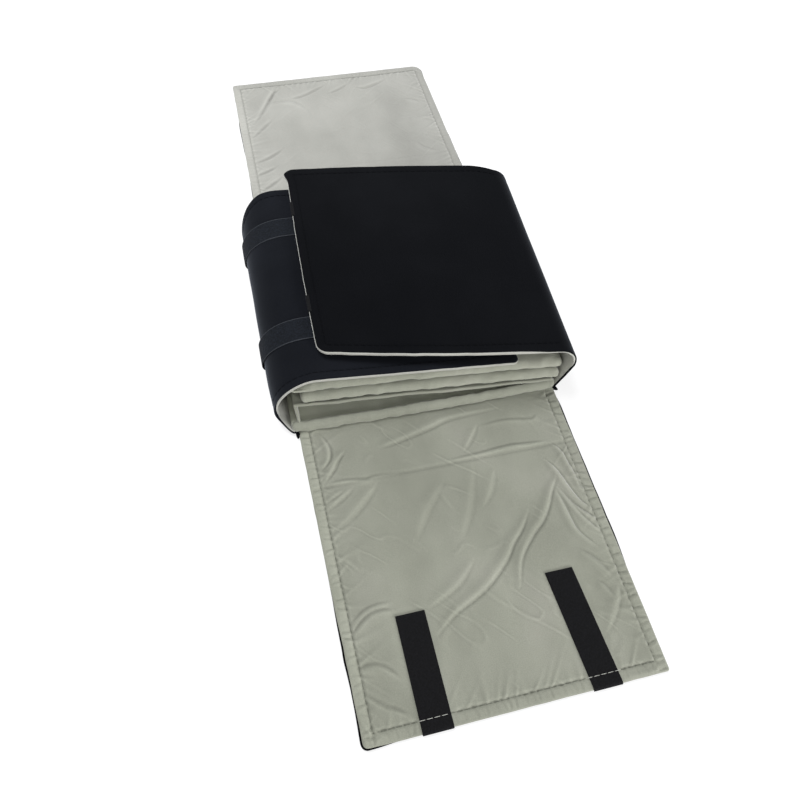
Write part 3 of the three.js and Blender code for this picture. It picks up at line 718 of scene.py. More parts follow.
def stitches(name, starts, ends, normals, look, motion):
    """Short lengths of thread, each a small rounded rod between two points."""
    along = ends - starts
    length = np.linalg.norm(along, axis=1, keepdims=True)
    along = along / length
    across = np.cross(normals, along)
    across /= np.linalg.norm(across, axis=1, keepdims=True)
    up = np.cross(along, across)
    middle = (starts + ends) / 2 + up * STITCH_LIFT
    points = []
    for place, size in ROD_RINGS:
        for angle in np.arange(ROD_SIDES) * 2 * math.pi / ROD_SIDES:
            sideways = (across * math.cos(angle) + up * math.sin(angle)) * STITCH_WIDTH / 2 * size
            points.append(middle + along * length / 2 * place + sideways)
    rows = np.arange(len(points)).reshape(-1, ROD_SIDES)
    after = np.roll(rows, -1, axis=1)
    quads = np.stack([rows[:-1], after[:-1], after[1:], rows[1:]], -1).reshape(-1, 4)
    rod = quads.tolist() + [rows[0, ::-1].tolist(), rows[-1].tolist()]
    faces = [[v + rows.size * number for v in face] for number in range(len(middle)) for face in rod]
    finish_piece(mesh_object(name, np.stack(points, axis=1).reshape(-1, 3), faces), look, motion)


def run_of_stitches(start, end):
    """Starts and ends of stitches along a straight line on the flat cloth."""
    start, end = np.array(start, float), np.array(end, float)
    count = int(np.linalg.norm(end - start) // STITCH_STEP)
    step = (end - start) / count
    first = start + step * np.arange(count)[:, None]
    return first, first + step * STITCH_LENGTH / STITCH_STEP


def seam_runs(width, first, last):
    """The sewn line round a panel: down one side, along the end and up the other side."""
    inset = STITCH_INSET
    corners = [(inset, first), (inset, last - inset), (width - inset, last - inset), (width - inset, first)]
    runs = [run_of_stitches(p, q) for p, q in zip(corners, corners[1:])]
    return [np.concatenate(ends) for ends in zip(*runs)]


def sew(name, panel, points, firsts, lasts, look, motion):
    normals = grid_normals(points)
    inside = panel.place(panel.a, panel.b, np.full_like(panel.a, panel.rim))
    if np.sum(normals * (points - inside)) < 0:
        normals = -normals
    up = panel.at(normals, (firsts + lasts) / 2)
    stitches(name, panel.at(points, firsts), panel.at(points, lasts), up, look, motion)


# End flaps. Folds are given by the points that they pass, their width and their height.

FRONT_FOLDS = [
    ([(33, -131.6), (55, -132.2), (75, -135.9), (82, -131.8)], 1.8, 1.0),
    ([(52, -117.6), (12, -118), (-6, -122), (-34, -128), (-48, -130.4)], 2.0, 1.5),
    ([(-92, -152), (-78, -153.1), (-64, -155.9), (-56, -154.8), (-36, -155.7)], 1.6, 1.1),
    ([(1, -154), (26, -154.6), (50, -153.9), (66, -155), (80, -155.4)], 1.5, 1.2),
    ([(77, -185), (69.6, -193.7), (62, -205), (53.6, -214.3), (43.6, -222.1), (30, -237), (23, -255)],
     1.9, 2.1),
    ([(47, -205), (37.8, -216), (27.5, -225), (18, -235.5), (-1.5, -250), (-26, -261), (-42, -272)],
     2.0, 1.8),
    ([(74.4, -170), (79, -180), (82.7, -194.3), (87, -206), (93, -213)], 1.6, 1.9),
    ([(83.6, -157), (88.2, -165.3), (89.8, -176.3), (91.3, -185.3), (92.6, -200.8)], 1.4, 1.4),
    ([(73, -195), (74, -205.5), (75, -219.4), (77.5, -229.4), (87, -242)], 1.7, 1.6),
    ([(75.5, -193.4), (81.3, -208), (90, -219), (95, -222.5)], 1.4, 1.3),
    ([(77.4, -201.3), (84.9, -219.3), (94, -232.5)], 1.3, 1.2),
    ([(32.5, -168), (24.8, -181.6), (16, -194)], 2.4, 0.8),
    ([(18, -160), (5, -190), (-7, -213)], 3.0, 0.8),
    ([(-8, -168), (-27, -186.6), (-39, -206)], 3.0, 0.9),
    ([(31, -129), (15, -148)], 1.8, 1.0),
    ([(-90.4, -111.4), (-87.3, -120.7), (-87.1, -127.6), (-89, -133.2), (-95, -139.3)], 1.5, 1.6),
    ([(-75.5, -128), (-82.3, -134), (-87.1, -141), (-94, -149)], 1.6, 1.6),
    ([(-58, -160), (-67, -167), (-80.5, -178), (-94, -187)], 2.6, 1.3),
    ([(-75, -158.5), (-85.7, -164.5), (-95.5, -170.6)], 1.8, 1.0),
    ([(-82, -159), (-89, -161.6), (-96.5, -165.5)], 1.3, 0.8),
    ([(73, -241.8), (80.3, -251), (89, -265)], 2.2, 1.1),
    ([(90.5, -271), (84.6, -281), (71.4, -297)], 2.2, 1.2),
    ([(77.5, -265), (81, -271.6), (84, -278)], 1.8, 0.8),
    ([(-3.5, -230.4), (-20.7, -243.7), (-42.7, -253.7)], 2.2, 1.0),
    ([(-97, -261), (-81, -251.7), (-67, -250.8)], 1.9, 1.4),
    ([(-95, -252.7), (-82, -247), (-67, -245)], 1.5, 0.9),
    ([(-97, -282), (-84, -283.6), (-73, -292)], 1.9, 1.2),
    ([(-97, -297), (-86, -307.6), (-72, -314)], 1.9, 1.1),
]
BACK_FOLDS = [
    ([(-62, 319), (-75.7, 294.7), (-92, 262)], 2.3, 1.9),
    ([(-58, 314), (-68, 307), (-82, 280)], 1.7, 1.0),
    ([(-8, 313), (-33, 301.4), (-48, 296)], 2.0, 1.4),
    ([(18, 311), (4, 303.5), (-6, 298)], 1.7, 1.1),
    ([(62, 312), (38, 303.4), (27, 303)], 2.0, 1.3),
    ([(-73, 287), (-50, 285.8), (-36, 273)], 2.3, 1.1),
    ([(-70, 217), (-86, 208.8), (-98, 203)], 2.0, 1.3),
    ([(-79, 193), (-89, 189.6), (-99, 184)], 1.8, 1.2),
    ([(-76, 178), (-88, 170.4), (-98, 162)], 2.0, 1.3),
    ([(-73, 265), (-85, 255), (-97, 240)], 2.0, 1.2),
    ([(74, 271), (89, 262)], 2.0, 1.0),
    ([(67, 201), (74, 188.3), (87, 183)], 2.3, 1.1),
]

# How far the folds may rise, so that the flaps can be folded over the cover and each other, how far they
# sink, how crisp they are, and how wrinkled the hem is and the painted light and shade on it, at the left,
# at the right and at the end
FLAP_RISES = {"front": 1.7, "back": 0.3}
FLAP_SINKS = {"front": 0, "back": 0.4}
FLAP_CRISP = {"front": 1, "back": 0.4}
FLAP_HEMS = {"front": (0.8, 1.05, 0.5), "back": (0.3, 0.2, 0.3)}
# painted highlight and painted shade on the hem at the left, at the right and at the end
FLAP_HEM_PAINTED_LIGHT = {"front": (0.18, 0.05, 0.02), "back": (0.1, -0.04, -0.05)}
LOWEST = -1.1  # depth below which no valley goes
FLAP_BEND = 9  # length over which the cloth of a flap bends at a fold line
ROOT_BEND = 6  # and the height over which that of a wing bends at its root
FULL_TURN = 0.6  # share of the half turn that the lining takes where it hides the outer ply


def tape_middle(tape, e):
    """Middle of a flap's tape at a distance from the free end."""
    at_end, inner, length = tape
    return mix(at_end, inner, np.clip(e / length, 0, 1))


def tape_cover(x, e):
    """1 under the tapes of the front flap, falling to 0 around them."""
    cover = np.zeros(np.shape(x))
    for tape in FLAP_TAPES["front"].values():
        across = fade(TAPE_WIDTH / 2 - 1, TAPE_WIDTH / 2 + 6, np.abs(x - tape_middle(tape, e)))
        cover = np.maximum(cover, across * fade(tape[2] - 1, tape[2] + 4, e))
    return cover


class Flap:
    """One end flap: a gusset next to the base and the flap proper, cut from the same cloth."""

    def __init__(self, side):
        self.side, self.is_front = side, side == "front"
        self.way, self.shear, self.lift = (-1, FRONT_SHEAR, 0) if self.is_front else (1, 0, BACK_LIFT)
        self.parts = gusset, proper = f"{side}_gusset", f"{side}_flap"
        root, crease = hinge(f"{gusset}_fold"), hinge(f"{proper}_fold")
        self.root = abs(root[1])
        self.reach = FLAP_REACH - self.root
        self.crease = abs(crease[1]) - self.root
        self.split = self.crease / 2
        (root_left, root_right), (end_left, end_right) = FLAP_SIDES[side]
        self.width = (root_right - root_left + end_right - end_left) / 2
        turn = np.array([self.way * self.shear, self.way, 0]) * FLAP_BEND
        self.motions = ("base", gusset, root, root + turn), (gusset, proper, crease, crease + turn)

    def y(self, x, b):
        return self.way * (self.root + b) - self.shear * x

    def place_at(self, x, b, depth):
        """A point at a distance from the middle line, along the flap from its root and below its lining."""
        sunk = fade(-HIDDEN_SEAM, 0.5, b) * self.lift
        return xyz(x, self.y(x, b), FLAP + self.lift - sunk - depth)

    def across(self, a, b):
        """Distance from the middle line, where a runs from the left edge to the right one."""
        root, end = FLAP_SIDES[self.side]
        share = b / self.reach
        return mix(mix(root[0], end[0], share), mix(root[1], end[1], share), a / self.width)

    def place(self, a, b, depth):
        return self.place_at(self.across(a, b), b, depth)

    def panel(self, first, cell):
        """Rows run from near the base to the free end. The row at which its two cloths meet is given too."""
        lower = np.linspace(first, self.split, int((self.split - first) / cell) + 2)
        upper = edge_stations(self.reach + FLAP / 2 - self.split, cell, (False, True), TURN_STEPS)
        along = np.concatenate([lower[:-1], self.split + upper])
        panel = Panel(self.width, FLAP, along, self.reach - along, FLAP_CORNERS[self.side], self.place, cell)
        return panel, len(lower) - 1

    def turn(self, panel, seed):
        """How far the lining turns over the edge. Where it stops short, the outer ply peeps out."""
        if not self.is_front:
            return math.pi * (FULL_TURN - 0.2 * ease(0.1, 0.6, noise(panel.a, panel.b, 30, seed)))
        left = FULL_TURN - 0.4 * ease(0.5, 0.75, panel.b / self.reach)
        right = FULL_TURN - 0.4 * ease(4, 20, panel.b) * fade(120, 160, panel.b)
        end = FULL_TURN - 0.25 * fade(8, 22, panel.a)
        return math.pi * panel.around(left, right, end)

    def relief(self, panel, folds, seed):
        x = self.across(panel.a, panel.b)
        y = self.y(x, panel.b)
        crisp = FLAP_CRISP[self.side]
        relief = panel.puckers(seed, 1.0, FLAP_HEMS[self.side])
        for points, width, height in folds:
            relief += fold(x, y, points, width * (1.5 - 0.5 * crisp), height)
        relief += 0.25 * noise(x, y, 46, seed + 7) + 0.2 * noise(x, y, 15, seed + 8)
        relief += 0.55 * crisp * creases(x, y, 46, 15, 0.75 * self.way, seed + 20)
        relief += 0.4 * crisp * creases(x, y, 24, 9, 2.3, seed + 30)
        relief = np.maximum(relief - 0.8 * crisp**2 * bell(panel.b - self.crease, 1.6), -1)
        if self.is_front:
            relief = mix(relief, 0, tape_cover(x, panel.e))
        step = PANEL + 0.15 - FLAP - self.lift
        return relief * ease(-2, 6, panel.b) + step * fade(-1, 4, panel.b)

    def tone(self, panel, relief):
        # Painted light: painted highlight on ridges and hem and painted shade in the fold valleys
        tone = panel.painted_fold_light(relief) + panel.painted_hem_light(*FLAP_HEM_PAINTED_LIGHT[self.side])
        # Painted shade darkens the back flap towards the right. The front flap gets painted shade near the
        # root, painted light towards the free end, and a strip of painted light right along the root, against
        # the stack's shadow there.
        if not self.is_front:
            return tone - 0.12 * ease(0.5, 0.95, panel.a / self.width)
        painted_gradient = mix(-0.07, 0.05, ease(0, 0.8, panel.b / self.reach))
        return tone + painted_gradient + 0.1 * fade(0, 16, panel.b)

    def lay(self, ply, faces, look, split, hidden, rests_on, tone=None):
        lengths = (self.split + hidden, self.reach - self.split)
        lay_in_two(ply, faces, look, self.parts, split, self.motions, self.width, lengths, "laid",
                   rests_on, tone=tone)

    def sew(self, label, panel, points, firsts, lasts, picks, look):
        for part, pick, motion in zip(self.parts, picks, self.motions):
            sew(f"{part}_{label}", panel, points, firsts[pick], lasts[pick], look, motion)


def make_flap(flap, folds, lining, thread, seed):
    """Lays and sews both plies. Returns the stitches that cross the tapes."""
    panel, split = flap.panel(-COVERED_SEAM, FINE_CELL)
    relief = flap.relief(panel, folds, seed)
    rise = FLAP_RISES[flap.side]
    low_relief = relief - FLAP_SINKS[flap.side]
    low_relief = np.where(low_relief > 0, rise * np.tanh(low_relief / rise), np.maximum(low_relief, LOWEST))
    faces = panel.lining(flap.turn(panel, seed), low_relief)
    flap.lay("lining", faces, lining, split, 0, "{}_outer_cloth", flap.tone(panel, relief))
    firsts, lasts = seam_runs(flap.width, 2, flap.reach)
    lower = np.maximum(firsts[:, 1], lasts[:, 1]) < flap.split
    bare = np.ones(len(firsts), bool)
    if flap.is_front:
        on_end = firsts[:, 1] > flap.reach - STITCH_INSET - 1
        x = flap.across(*((firsts + lasts) / 2).T)
        bare = ~on_end | (tape_cover(x, np.full(len(x), STITCH_INSET)) < 0.95)
    sunk = firsts[:, :1] > flap.width - STITCH_INSET - 1
    seen = np.where(sunk, mix(firsts, lasts, SUNK_STITCH), lasts)
    flap.sew("stitches", panel, faces[0], firsts, seen, (lower, ~lower & bare), thread)
    panel, split = flap.panel(-HIDDEN_SEAM, CELL)
    turn = flap.turn(panel, seed)
    peep = np.clip((FULL_TURN * math.pi - turn) / (0.3 * math.pi), 0, 1.4)
    spread = peep * (0.5 + 0.3 * noise(panel.a, panel.b, 24, seed + 11))
    if flap.is_front:
        spread += 0.4 * bell(np.hypot(panel.a, panel.e), 16)
    faces = panel.outer(turn, panel.groove(0.3, GROOVE_WIDTH), spread)
    flap.lay("outer", faces, BLACK, split, HIDDEN_SEAM, "base")
    flap.sew("outer_stitches", panel, faces[0], firsts, lasts, (lower, ~lower), BLACK_THREAD)
    return firsts[~bare], lasts[~bare]


# Tapes: ribbons that follow a path of (along, depth) on a panel

def ribbon(node, place, middle, path, look, motion, edge=None, thick=TAPE_THICK, narrow=1.0):
    """A tape whose path lies at mid thickness. Its long edges are rounded and have a look of their own."""
    path = np.array(path, float)
    step = np.gradient(path, axis=0)
    step /= np.linalg.norm(step, axis=1, keepdims=True)
    square = np.stack([-step[:, 1], step[:, 0]], -1)
    stations = edge_stations(TAPE_WIDTH, TAPE_CELL)
    distance = np.minimum(stations, TAPE_WIDTH - stations)
    across = np.broadcast_to(middle, len(path))[:, None]
    across = across + (stations - TAPE_WIDTH / 2) * np.reshape(narrow, (-1, 1))
    faces = []
    for side in (1, -1):
        offset = side * (RIM / 2 + (thick / 2 - RIM / 2) * rolled(distance, TAPE_ROLL))
        along, depth = (path[:, k:k + 1] + square[:, k:k + 1] * offset for k in (0, 1))
        faces.append(place(across, along, depth))
    piece = finish_piece(shell(f"{node}_woven", *faces), look, motion, node)
    piece.data.materials.append((edge or look)[0])
    columns = np.arange(len(piece.data.polygons)) % (len(stations) - 1)
    is_edge = (distance[:-1] < TAPE_BORDER)[columns]
    piece.data.polygons.foreach_set("material_index", is_edge.astype(np.int32))


def make_flap_tapes(flap, look, names, depth, ending):
    """Tapes that run in from the free end. Ending is the last stretch of their path, from that end."""
    for side, tape in FLAP_TAPES[flap.side].items():
        path = [(b, depth) for b in np.linspace(flap.reach - tape[2], flap.reach - 2, 40)]
        path += [(flap.reach + past, depth + deeper) for past, deeper in ending]
        middle = tape_middle(tape, flap.reach - np.array(path)[:, 0])
        ribbon(names.format(side), flap.place_at, middle, path, look, flap.motions[1])


OVER_EDGE = ((-1.1, 0), (-0.3, 0.25), (0.25, 0.8), (0.4, 1.4))
TO_EDGE = ((-1, 0), (0, 0))
front_flap, back_flap = Flap("front"), Flap("back")
crossing = make_flap(front_flap, FRONT_FOLDS, GREY, SHADED_THREAD, 11)
make_flap(back_flap, BACK_FOLDS, PAINTED_SHEEN_GREY, SHEEN_THREAD, 41)
make_flap_tapes(front_flap, HOOK, "front_hook_tape_{}", -TAPE_THICK / 2, OVER_EDGE)
make_flap_tapes(back_flap, LOOP, "back_loop_tape_{}", FLAP + TAPE_THICK / 2, TO_EDGE)


def sew_over_tapes():
    """The bottom seam crosses the hook tapes, where its thread is painted pale, as painted light."""
    starts, ends = (front_flap.place(*flat.T, 0.1 - TAPE_THICK) for flat in crossing)
    up = np.tile([0.0, 0.0, 1.0], (len(starts), 1))
    stitches("front_tape_stitches", starts, ends, up, LIT_THREAD, front_flap.motions[1])


sew_over_tapes()


# Left wing

def bezier(a, b, c, d, t):
    t = t[:, None]
    return a * (1 - t) ** 3 + 3 * b * t * (1 - t) ** 2 + 3 * c * t**2 * (1 - t) + d * t**3


def sloped(level, x):
    return level + WEDGE_SLOPE * (WEDGE_RIGHT - x)


def left_section(count):
    """The lining's section in x and z from the root to the end of the bend."""
    root = np.array([BASE_LOW[0] - 0.3, PANEL])
    end = np.array([LEFT_BEND_X, sloped(LEFT_LINING_Z, LEFT_BEND_X)])
    side = np.array([root[0] - LEFT_BULGE, LEFT_SIDE_Z])
    low_rise = np.array([0, (side[1] - root[1]) * CIRCLE_HANDLE])
    high_rise = np.array([0, (end[1] - side[1]) * CIRCLE_HANDLE])
    lean = np.array([-math.cos(LEFT_SPLAY), math.sin(LEFT_SPLAY)]) * LEFT_BULGE * CIRCLE_HANDLE
    fall = np.array([-1, WEDGE_SLOPE]) * (end[0] - side[0]) * CIRCLE_HANDLE
    t = np.linspace(0, 1, count)
    lower = bezier(root, root + lean, side - low_rise, side, t)
    upper = bezier(side, side + high_rise, end + fall, end, t)
    return np.vstack([lower, upper[1:]])


class LeftWing:
    """Tables along the wing's section: distance from the root, points, outward angle and edges."""

    def __init__(self):
        bend = left_section(26)
        run_length = LEFT_REACH + PANEL / 2 - LEFT_BEND_X
        run = edge_stations(run_length, CELL, (False, True), TURN_STEPS)[1:]
        straight = np.stack([LEFT_BEND_X + run, sloped(LEFT_LINING_Z, LEFT_BEND_X + run)], -1)
        self.points = np.vstack([bend, straight])
        tangent = np.gradient(self.points, axis=0)
        self.angle = np.unwrap(np.arctan2(tangent[:, 0], -tangent[:, 1]))
        steps = np.linalg.norm(np.diff(self.points, axis=0), axis=1)
        self.along = np.concatenate([[0], np.cumsum(steps)])
        self.length = self.along[-1] - PANEL / 2
        self.bend_share = share = np.linspace(0, 1, len(bend))
        bent_front = 0.66 * ease(0, 0.5, share) + 0.34 * ease(0.35, 1, share)
        bent_back = ease(0.33, 0.9, share)
        run_share = run / (LEFT_REACH - LEFT_BEND_X)
        self.front, self.back = (
            np.concatenate([mix(edge[0], edge[1], bent), mix(edge[1], edge[2], run_share)])
            for edge, bent in ((LEFT_FRONT, bent_front), (LEFT_BACK, bent_back))
        )

    def section(self, b, depth):
        """X and z. Before the root the cloth lies flat under the base, and it turns up round the root."""
        along = np.clip(b, 0, self.along[-1])
        x, z = (np.interp(along, self.along, self.points[:, k]) for k in (0, 1))
        flat = fade(-LEFT_ROOT_TURN, 0, b)
        angle = mix(np.interp(along, self.along, self.angle), -math.pi / 2, flat)
        under = np.where(b < -LEFT_ROOT_TURN, b + LEFT_ROOT_TURN, 0)
        return x - under + np.cos(angle) * depth, z + np.sin(angle) * depth

    def place(self, a, b, depth):
        front, back = (np.interp(b, self.along, edge) for edge in (self.front, self.back))
        lift = LEFT_EDGE_LIFT * bell(np.clip(a, 0, None), 7) * ease(35, 60, b)
        x, z = self.section(b, depth + lift)
        swell = np.clip((BASE_LOW[0] - x) / LEFT_BULGE, 0, 1)
        x += LEFT_DRAW * swell * fade(0, LEFT_DRAW_RUN, a)
        return xyz(x, mix(front, back, a / LEFT_WIDTH), z)

    def place_at(self, y, b, depth):
        x, z = self.section(b, depth)
        return xyz(x, y, z)

    def turn(self, panel):
        """The lining shows round the front edge of the upper part, the outer ply round that of the bend."""
        return math.pi * panel.around(0.2 + 0.66 * ease(14, 31, panel.b), 0.55, 0.6)

    def panel(self, first):
        root_rows = np.linspace(first, 0, 8)[:-1] if first < 0 else []
        along = np.concatenate([root_rows, self.along])
        return Panel(LEFT_WIDTH, PANEL, along, self.length - along, (LEFT_ROUND, LEFT_ROUND), self.place)


def root_motion(joint, body):
    """Cloth that turns up from the base over the height of its root."""
    root = hinge(joint)
    return ("base", body, root, root + np.array([0, 0, ROOT_BEND]))


LEFT_MOTION = root_motion("left_wing_fold", "left_wing")


def make_left_wing():
    wing = LeftWing()
    lining = wing.panel(0)
    relief = 0.5 * lining.puckers(71, 0.7) + 0.25 * noise(lining.a, lining.b, 21, 72)
    cloth = shell("left_wing_lining_cloth", *lining.lining(wing.turn(lining), relief))
    finish_ply(cloth, "left_wing", "lining", PAINTED_SHEEN_GREY, LEFT_MOTION, LEFT_WIDTH, wing.length, "folded",
               "top_leaf_pad")
    outer = wing.panel(-HIDDEN_SEAM - LEFT_ROOT_TURN)
    relief = outer.groove(0.3, 1.0) + 0.3 * noise(outer.a, outer.b, 24, 73)
    faces = outer.outer(wing.turn(outer), relief)
    cloth = shell("left_wing_outer_cloth", *faces)
    outer_length = wing.length + HIDDEN_SEAM + PANEL
    finish_ply(cloth, "left_wing", "outer", PAINTED_LIGHT_BLACK, LEFT_MOTION, LEFT_WIDTH, outer_length, "folded",
               "left_wing_lining_cloth")
    runs = seam_runs(LEFT_WIDTH, 2, wing.length)
    sew("left_wing_stitches", outer, faces[0], *runs, BLACK_THREAD, LEFT_MOTION)
    bend = len(wing.bend_share)
    tape_start = np.interp(LEFT_TAPE_START, wing.bend_share, wing.along[:bend])
    tape_end = np.interp(LEFT_TAPE_END, wing.points[bend:, 0], wing.along[bend:])
    b = np.linspace(tape_start, tape_end, 80)
    depth = PANEL + LEFT_TAPE_GAP + TAPE_THICK / 2 + TAPE_FLARE * fade(0, 15, b - tape_start)
    path = np.stack([b, depth], -1)
    for label, middle in LEFT_TAPES.items():
        ribbon(f"left_loop_tape_{label}", wing.place_at, middle, path, LOOP, LEFT_MOTION, SELVEDGE)


make_left_wing()


# Right wing: along runs over 0 to 1 on the wall, 1 to 2 round the fold and 2 to 3 on the cover

def fold_centre(share):
    x = BASE_HIGH[0] + mix(*FOLD_REACH, share) - PANEL - FOLD_RADIUS
    return x, np.full_like(x, COVER_Z - FOLD_RADIUS)


def fold_start(share):
    """Angle on the fold at which the wall runs into it without a kink."""
    cx, cz = fold_centre(share)
    ax, az = WALL_ROOT[0] - cx, WALL_ROOT[1] - cz
    return np.arctan2(az, ax) + np.arccos(FOLD_RADIUS / np.hypot(ax, az))


def cover_free(share):
    """The cover's free edge in x and y, before its back edge is drawn in at the shoulder."""
    y = mix(FREE_ENDS[0], FREE_ENDS[1] - SHOULDER, share)
    ear = DOG_EAR * bell((1 - share) * COVER_WIDTH - 6, 7)
    return mix(*FREE_X, share) - FREE_BOW * hump(share) - ear, y


def cover_length(share):
    x, y = cover_free(share)
    return np.hypot(x - fold_centre(share)[0], y - mix(*FOLD_ENDS, share))


def place_right(a, r, depth):
    a, r, depth = np.broadcast_arrays(a, r, depth)
    share = a / COVER_WIDTH
    start = fold_start(share)
    cx, cz = fold_centre(share)
    climbed, turned, passed = np.clip(r, 0, 1), np.clip(r - 1, 0, 1), np.clip(r - 2, 0, None)
    angle = mix(start, math.pi / 2, turned)
    angle = np.where(r < 0, mix(-math.pi / 2, start, np.clip(1 + r * 2, 0, 1)), angle)
    top_x, top_z = cx + np.cos(start) * FOLD_RADIUS, cz + np.sin(start) * FOLD_RADIUS
    x = np.where(r < 1, mix(WALL_ROOT[0], top_x, climbed), cx + np.cos(angle) * FOLD_RADIUS)
    z = np.where(r < 1, mix(WALL_ROOT[1], top_z, climbed), cz + np.sin(angle) * FOLD_RADIUS)
    front = mix(WALL_ENDS[0], FOLD_ENDS[0], turned)
    back = mix(WALL_ENDS[1], FOLD_ENDS[1], turned**2)
    free_x, free_y = cover_free(share)
    drawn_in = np.clip(1 - passed * cover_length(share) / SHOULDER_RUN, 0, None) ** 2
    x += passed * (free_x - cx)
    y = mix(front, back, share) + passed * (free_y - mix(*FOLD_ENDS, share))
    y += mix(*EDGE_BOW, share) * hump(passed) + SHOULDER * share * (1 - drawn_in)
    x -= np.where(r < -0.5, (-0.5 - r) * 2 * HIDDEN_SEAM, 0)
    return xyz(x + np.cos(angle) * depth, y, z + np.sin(angle) * depth)


MEAN_LENGTH = float(np.mean(cover_length(np.array([0.0, 0.5, 1.0]))))


def right_panel(first):
    """Rows over the wing from the first one: 0, or -1 for the outer ply, which reaches under the base."""
    past = PANEL / 2 / MEAN_LENGTH
    cover = 2 + edge_stations(MEAN_LENGTH + PANEL / 2, CELL, (False, True), TURN_STEPS) / MEAN_LENGTH
    rows = [np.linspace(0, 1, 28), np.linspace(1, 2, 26)[1:], cover[1:]]
    if first < 0:
        rows.insert(0, np.linspace(first, 0, 13)[:-1])
    along = np.concatenate(rows)
    cover_start = WALL_HEIGHT + FOLD_LENGTH
    end = cover_start + MEAN_LENGTH * (1 + past)
    stops = (-2 * HIDDEN_SEAM, -HIDDEN_SEAM, 0, WALL_HEIGHT, cover_start, end)
    flat = np.interp(along, [-1, -0.5, 0, 1, 2, 3 + past], stops)
    to_end = flat[-1] - PANEL / 2 - flat
    rounds = (COVER_ROUND, COVER_ROUND)
    panel = Panel(COVER_WIDTH, PANEL, along, to_end, rounds, place_right, CELL, 1 / MEAN_LENGTH, flat)
    return panel, int(np.argmin(np.abs(along - 0.5)))


def cover_motion():
    """The cloth of the fold turns from the end of the wall to the start of the cover, square to the hinge."""
    axis = np.array(joint_of("right_cover_fold")["axis"])
    start = hinge("right_cover_fold") + np.array([1, 0, -9])
    way = np.array([-17.0, 0, 18.0])
    way[1] = -(axis[0] * way[0] + axis[2] * way[2]) / axis[1]
    return ("right_wall", "right_cover", start, start + way)


RIGHT_PARTS = ("right_wall", "right_cover")
RIGHT_MOTIONS = (root_motion("right_wall_fold", "right_wall"), cover_motion())


def right_turn(panel):
    """The lining shows round the cover's front edge and end, the outer ply round the front of the wall."""
    front = 0.1 + 0.52 * ease(26, 46, panel.flat) + 0.33 * ease(52, 90, panel.flat)
    return math.pi * panel.around(front, 0.5, 0.78)


def make_right_wing():
    wall, cover = WALL_HEIGHT / 2, WALL_HEIGHT / 2 + FOLD_LENGTH + MEAN_LENGTH
    panel, split = right_panel(0)
    relief = 0.5 * panel.puckers(91, 0.5) + 0.25 * noise(panel.a, panel.flat, 23, 92)
    faces = panel.lining(right_turn(panel), relief)
    on_wall = fade(WALL_HEIGHT, WALL_HEIGHT + FOLD_LENGTH, panel.flat)
    # painted light along the front edge of the wall's lining, against the shade there
    streaks_and_painted_light = WALL_PAINTED_LIGHT * fade(0, 20, panel.a) * on_wall
    lay_in_two("lining", faces, PAINTED_SHEEN_GREY, RIGHT_PARTS, split, RIGHT_MOTIONS, COVER_WIDTH, (wall, cover),
               "folded", tone=streaks_and_painted_light)
    panel, split = right_panel(-1)
    relief = panel.groove(0.15, 1.1) + 0.25 * noise(panel.a, panel.flat, 26, 93)
    faces = panel.outer(right_turn(panel), relief)
    lay_in_two("outer", faces, BLACK, RIGHT_PARTS, split, RIGHT_MOTIONS, COVER_WIDTH,
               (wall + 2 * HIDDEN_SEAM, cover), "folded")
    firsts, lasts = (run * [1, 1 / MEAN_LENGTH] + [0, 2] for run in seam_runs(COVER_WIDTH, 0, MEAN_LENGTH))
    sew("right_cover_stitches", panel, faces[0], firsts, lasts, BLACK_THREAD, RIGHT_MOTIONS[1])


def place_cover_tape(a, e, depth):
    """A point of the cover by its distance from the free edge."""
    return place_right(a, 3 - e / cover_length(a / COVER_WIDTH), depth)


ROUND_FREE_EDGE = [
    (1.2, -0.35), (0.5, -0.1), (-0.05, 0.4), (-0.3, 0.9), (-0.4, 1.4), (-0.3, 1.95), (0.1, 2.45), (0.8, 2.85),
    (2.2, 3.0),
]


def make_right_tapes():
    """Hook tapes under the cover, whose ends are turned round its free edge."""
    path = [(e, -TAPE_THICK / 2) for e in np.linspace(TAPE_LENGTH, 2.5, 40)] + ROUND_FREE_EDGE
    narrow = mix(1, TURNED_TAPE, ease(30, 40, np.arange(len(path))))
    for label, middle in RIGHT_TAPES.items():
        ribbon(f"right_hook_tape_{label}", place_cover_tape, middle, path, HOOK, RIGHT_MOTIONS[1],
               thick=COVER_TAPE_THICK, narrow=narrow)


make_right_wing()
make_right_tapes()


# Base, leaves and pocket

def slab(name, width, length, corner, face, cell, painted_light_of=None):
    """A closed pad over a rounded rectangle. Face gives the points of side 1, which shows, or of side -1, by
    their distances from the left, the front and the nearest edge. A last function, if given, paints light on
    them by their distance from the front."""
    rows, stations = edge_stations(length, cell), edge_stations(width, cell)
    to_end = np.minimum(rows, length - rows)[:, None]
    inset = corner_inset(corner, to_end)
    a = inset + stations * (width - 2 * inset) / width
    b = np.repeat(rows[:, None], len(stations), axis=1)
    distance = edge_distance(a, width, to_end, corner)
    tone = painted_light_of(b) if painted_light_of else None
    return shell(name, face(1, a, b, distance), face(-1, a, b, distance), tone=tone)


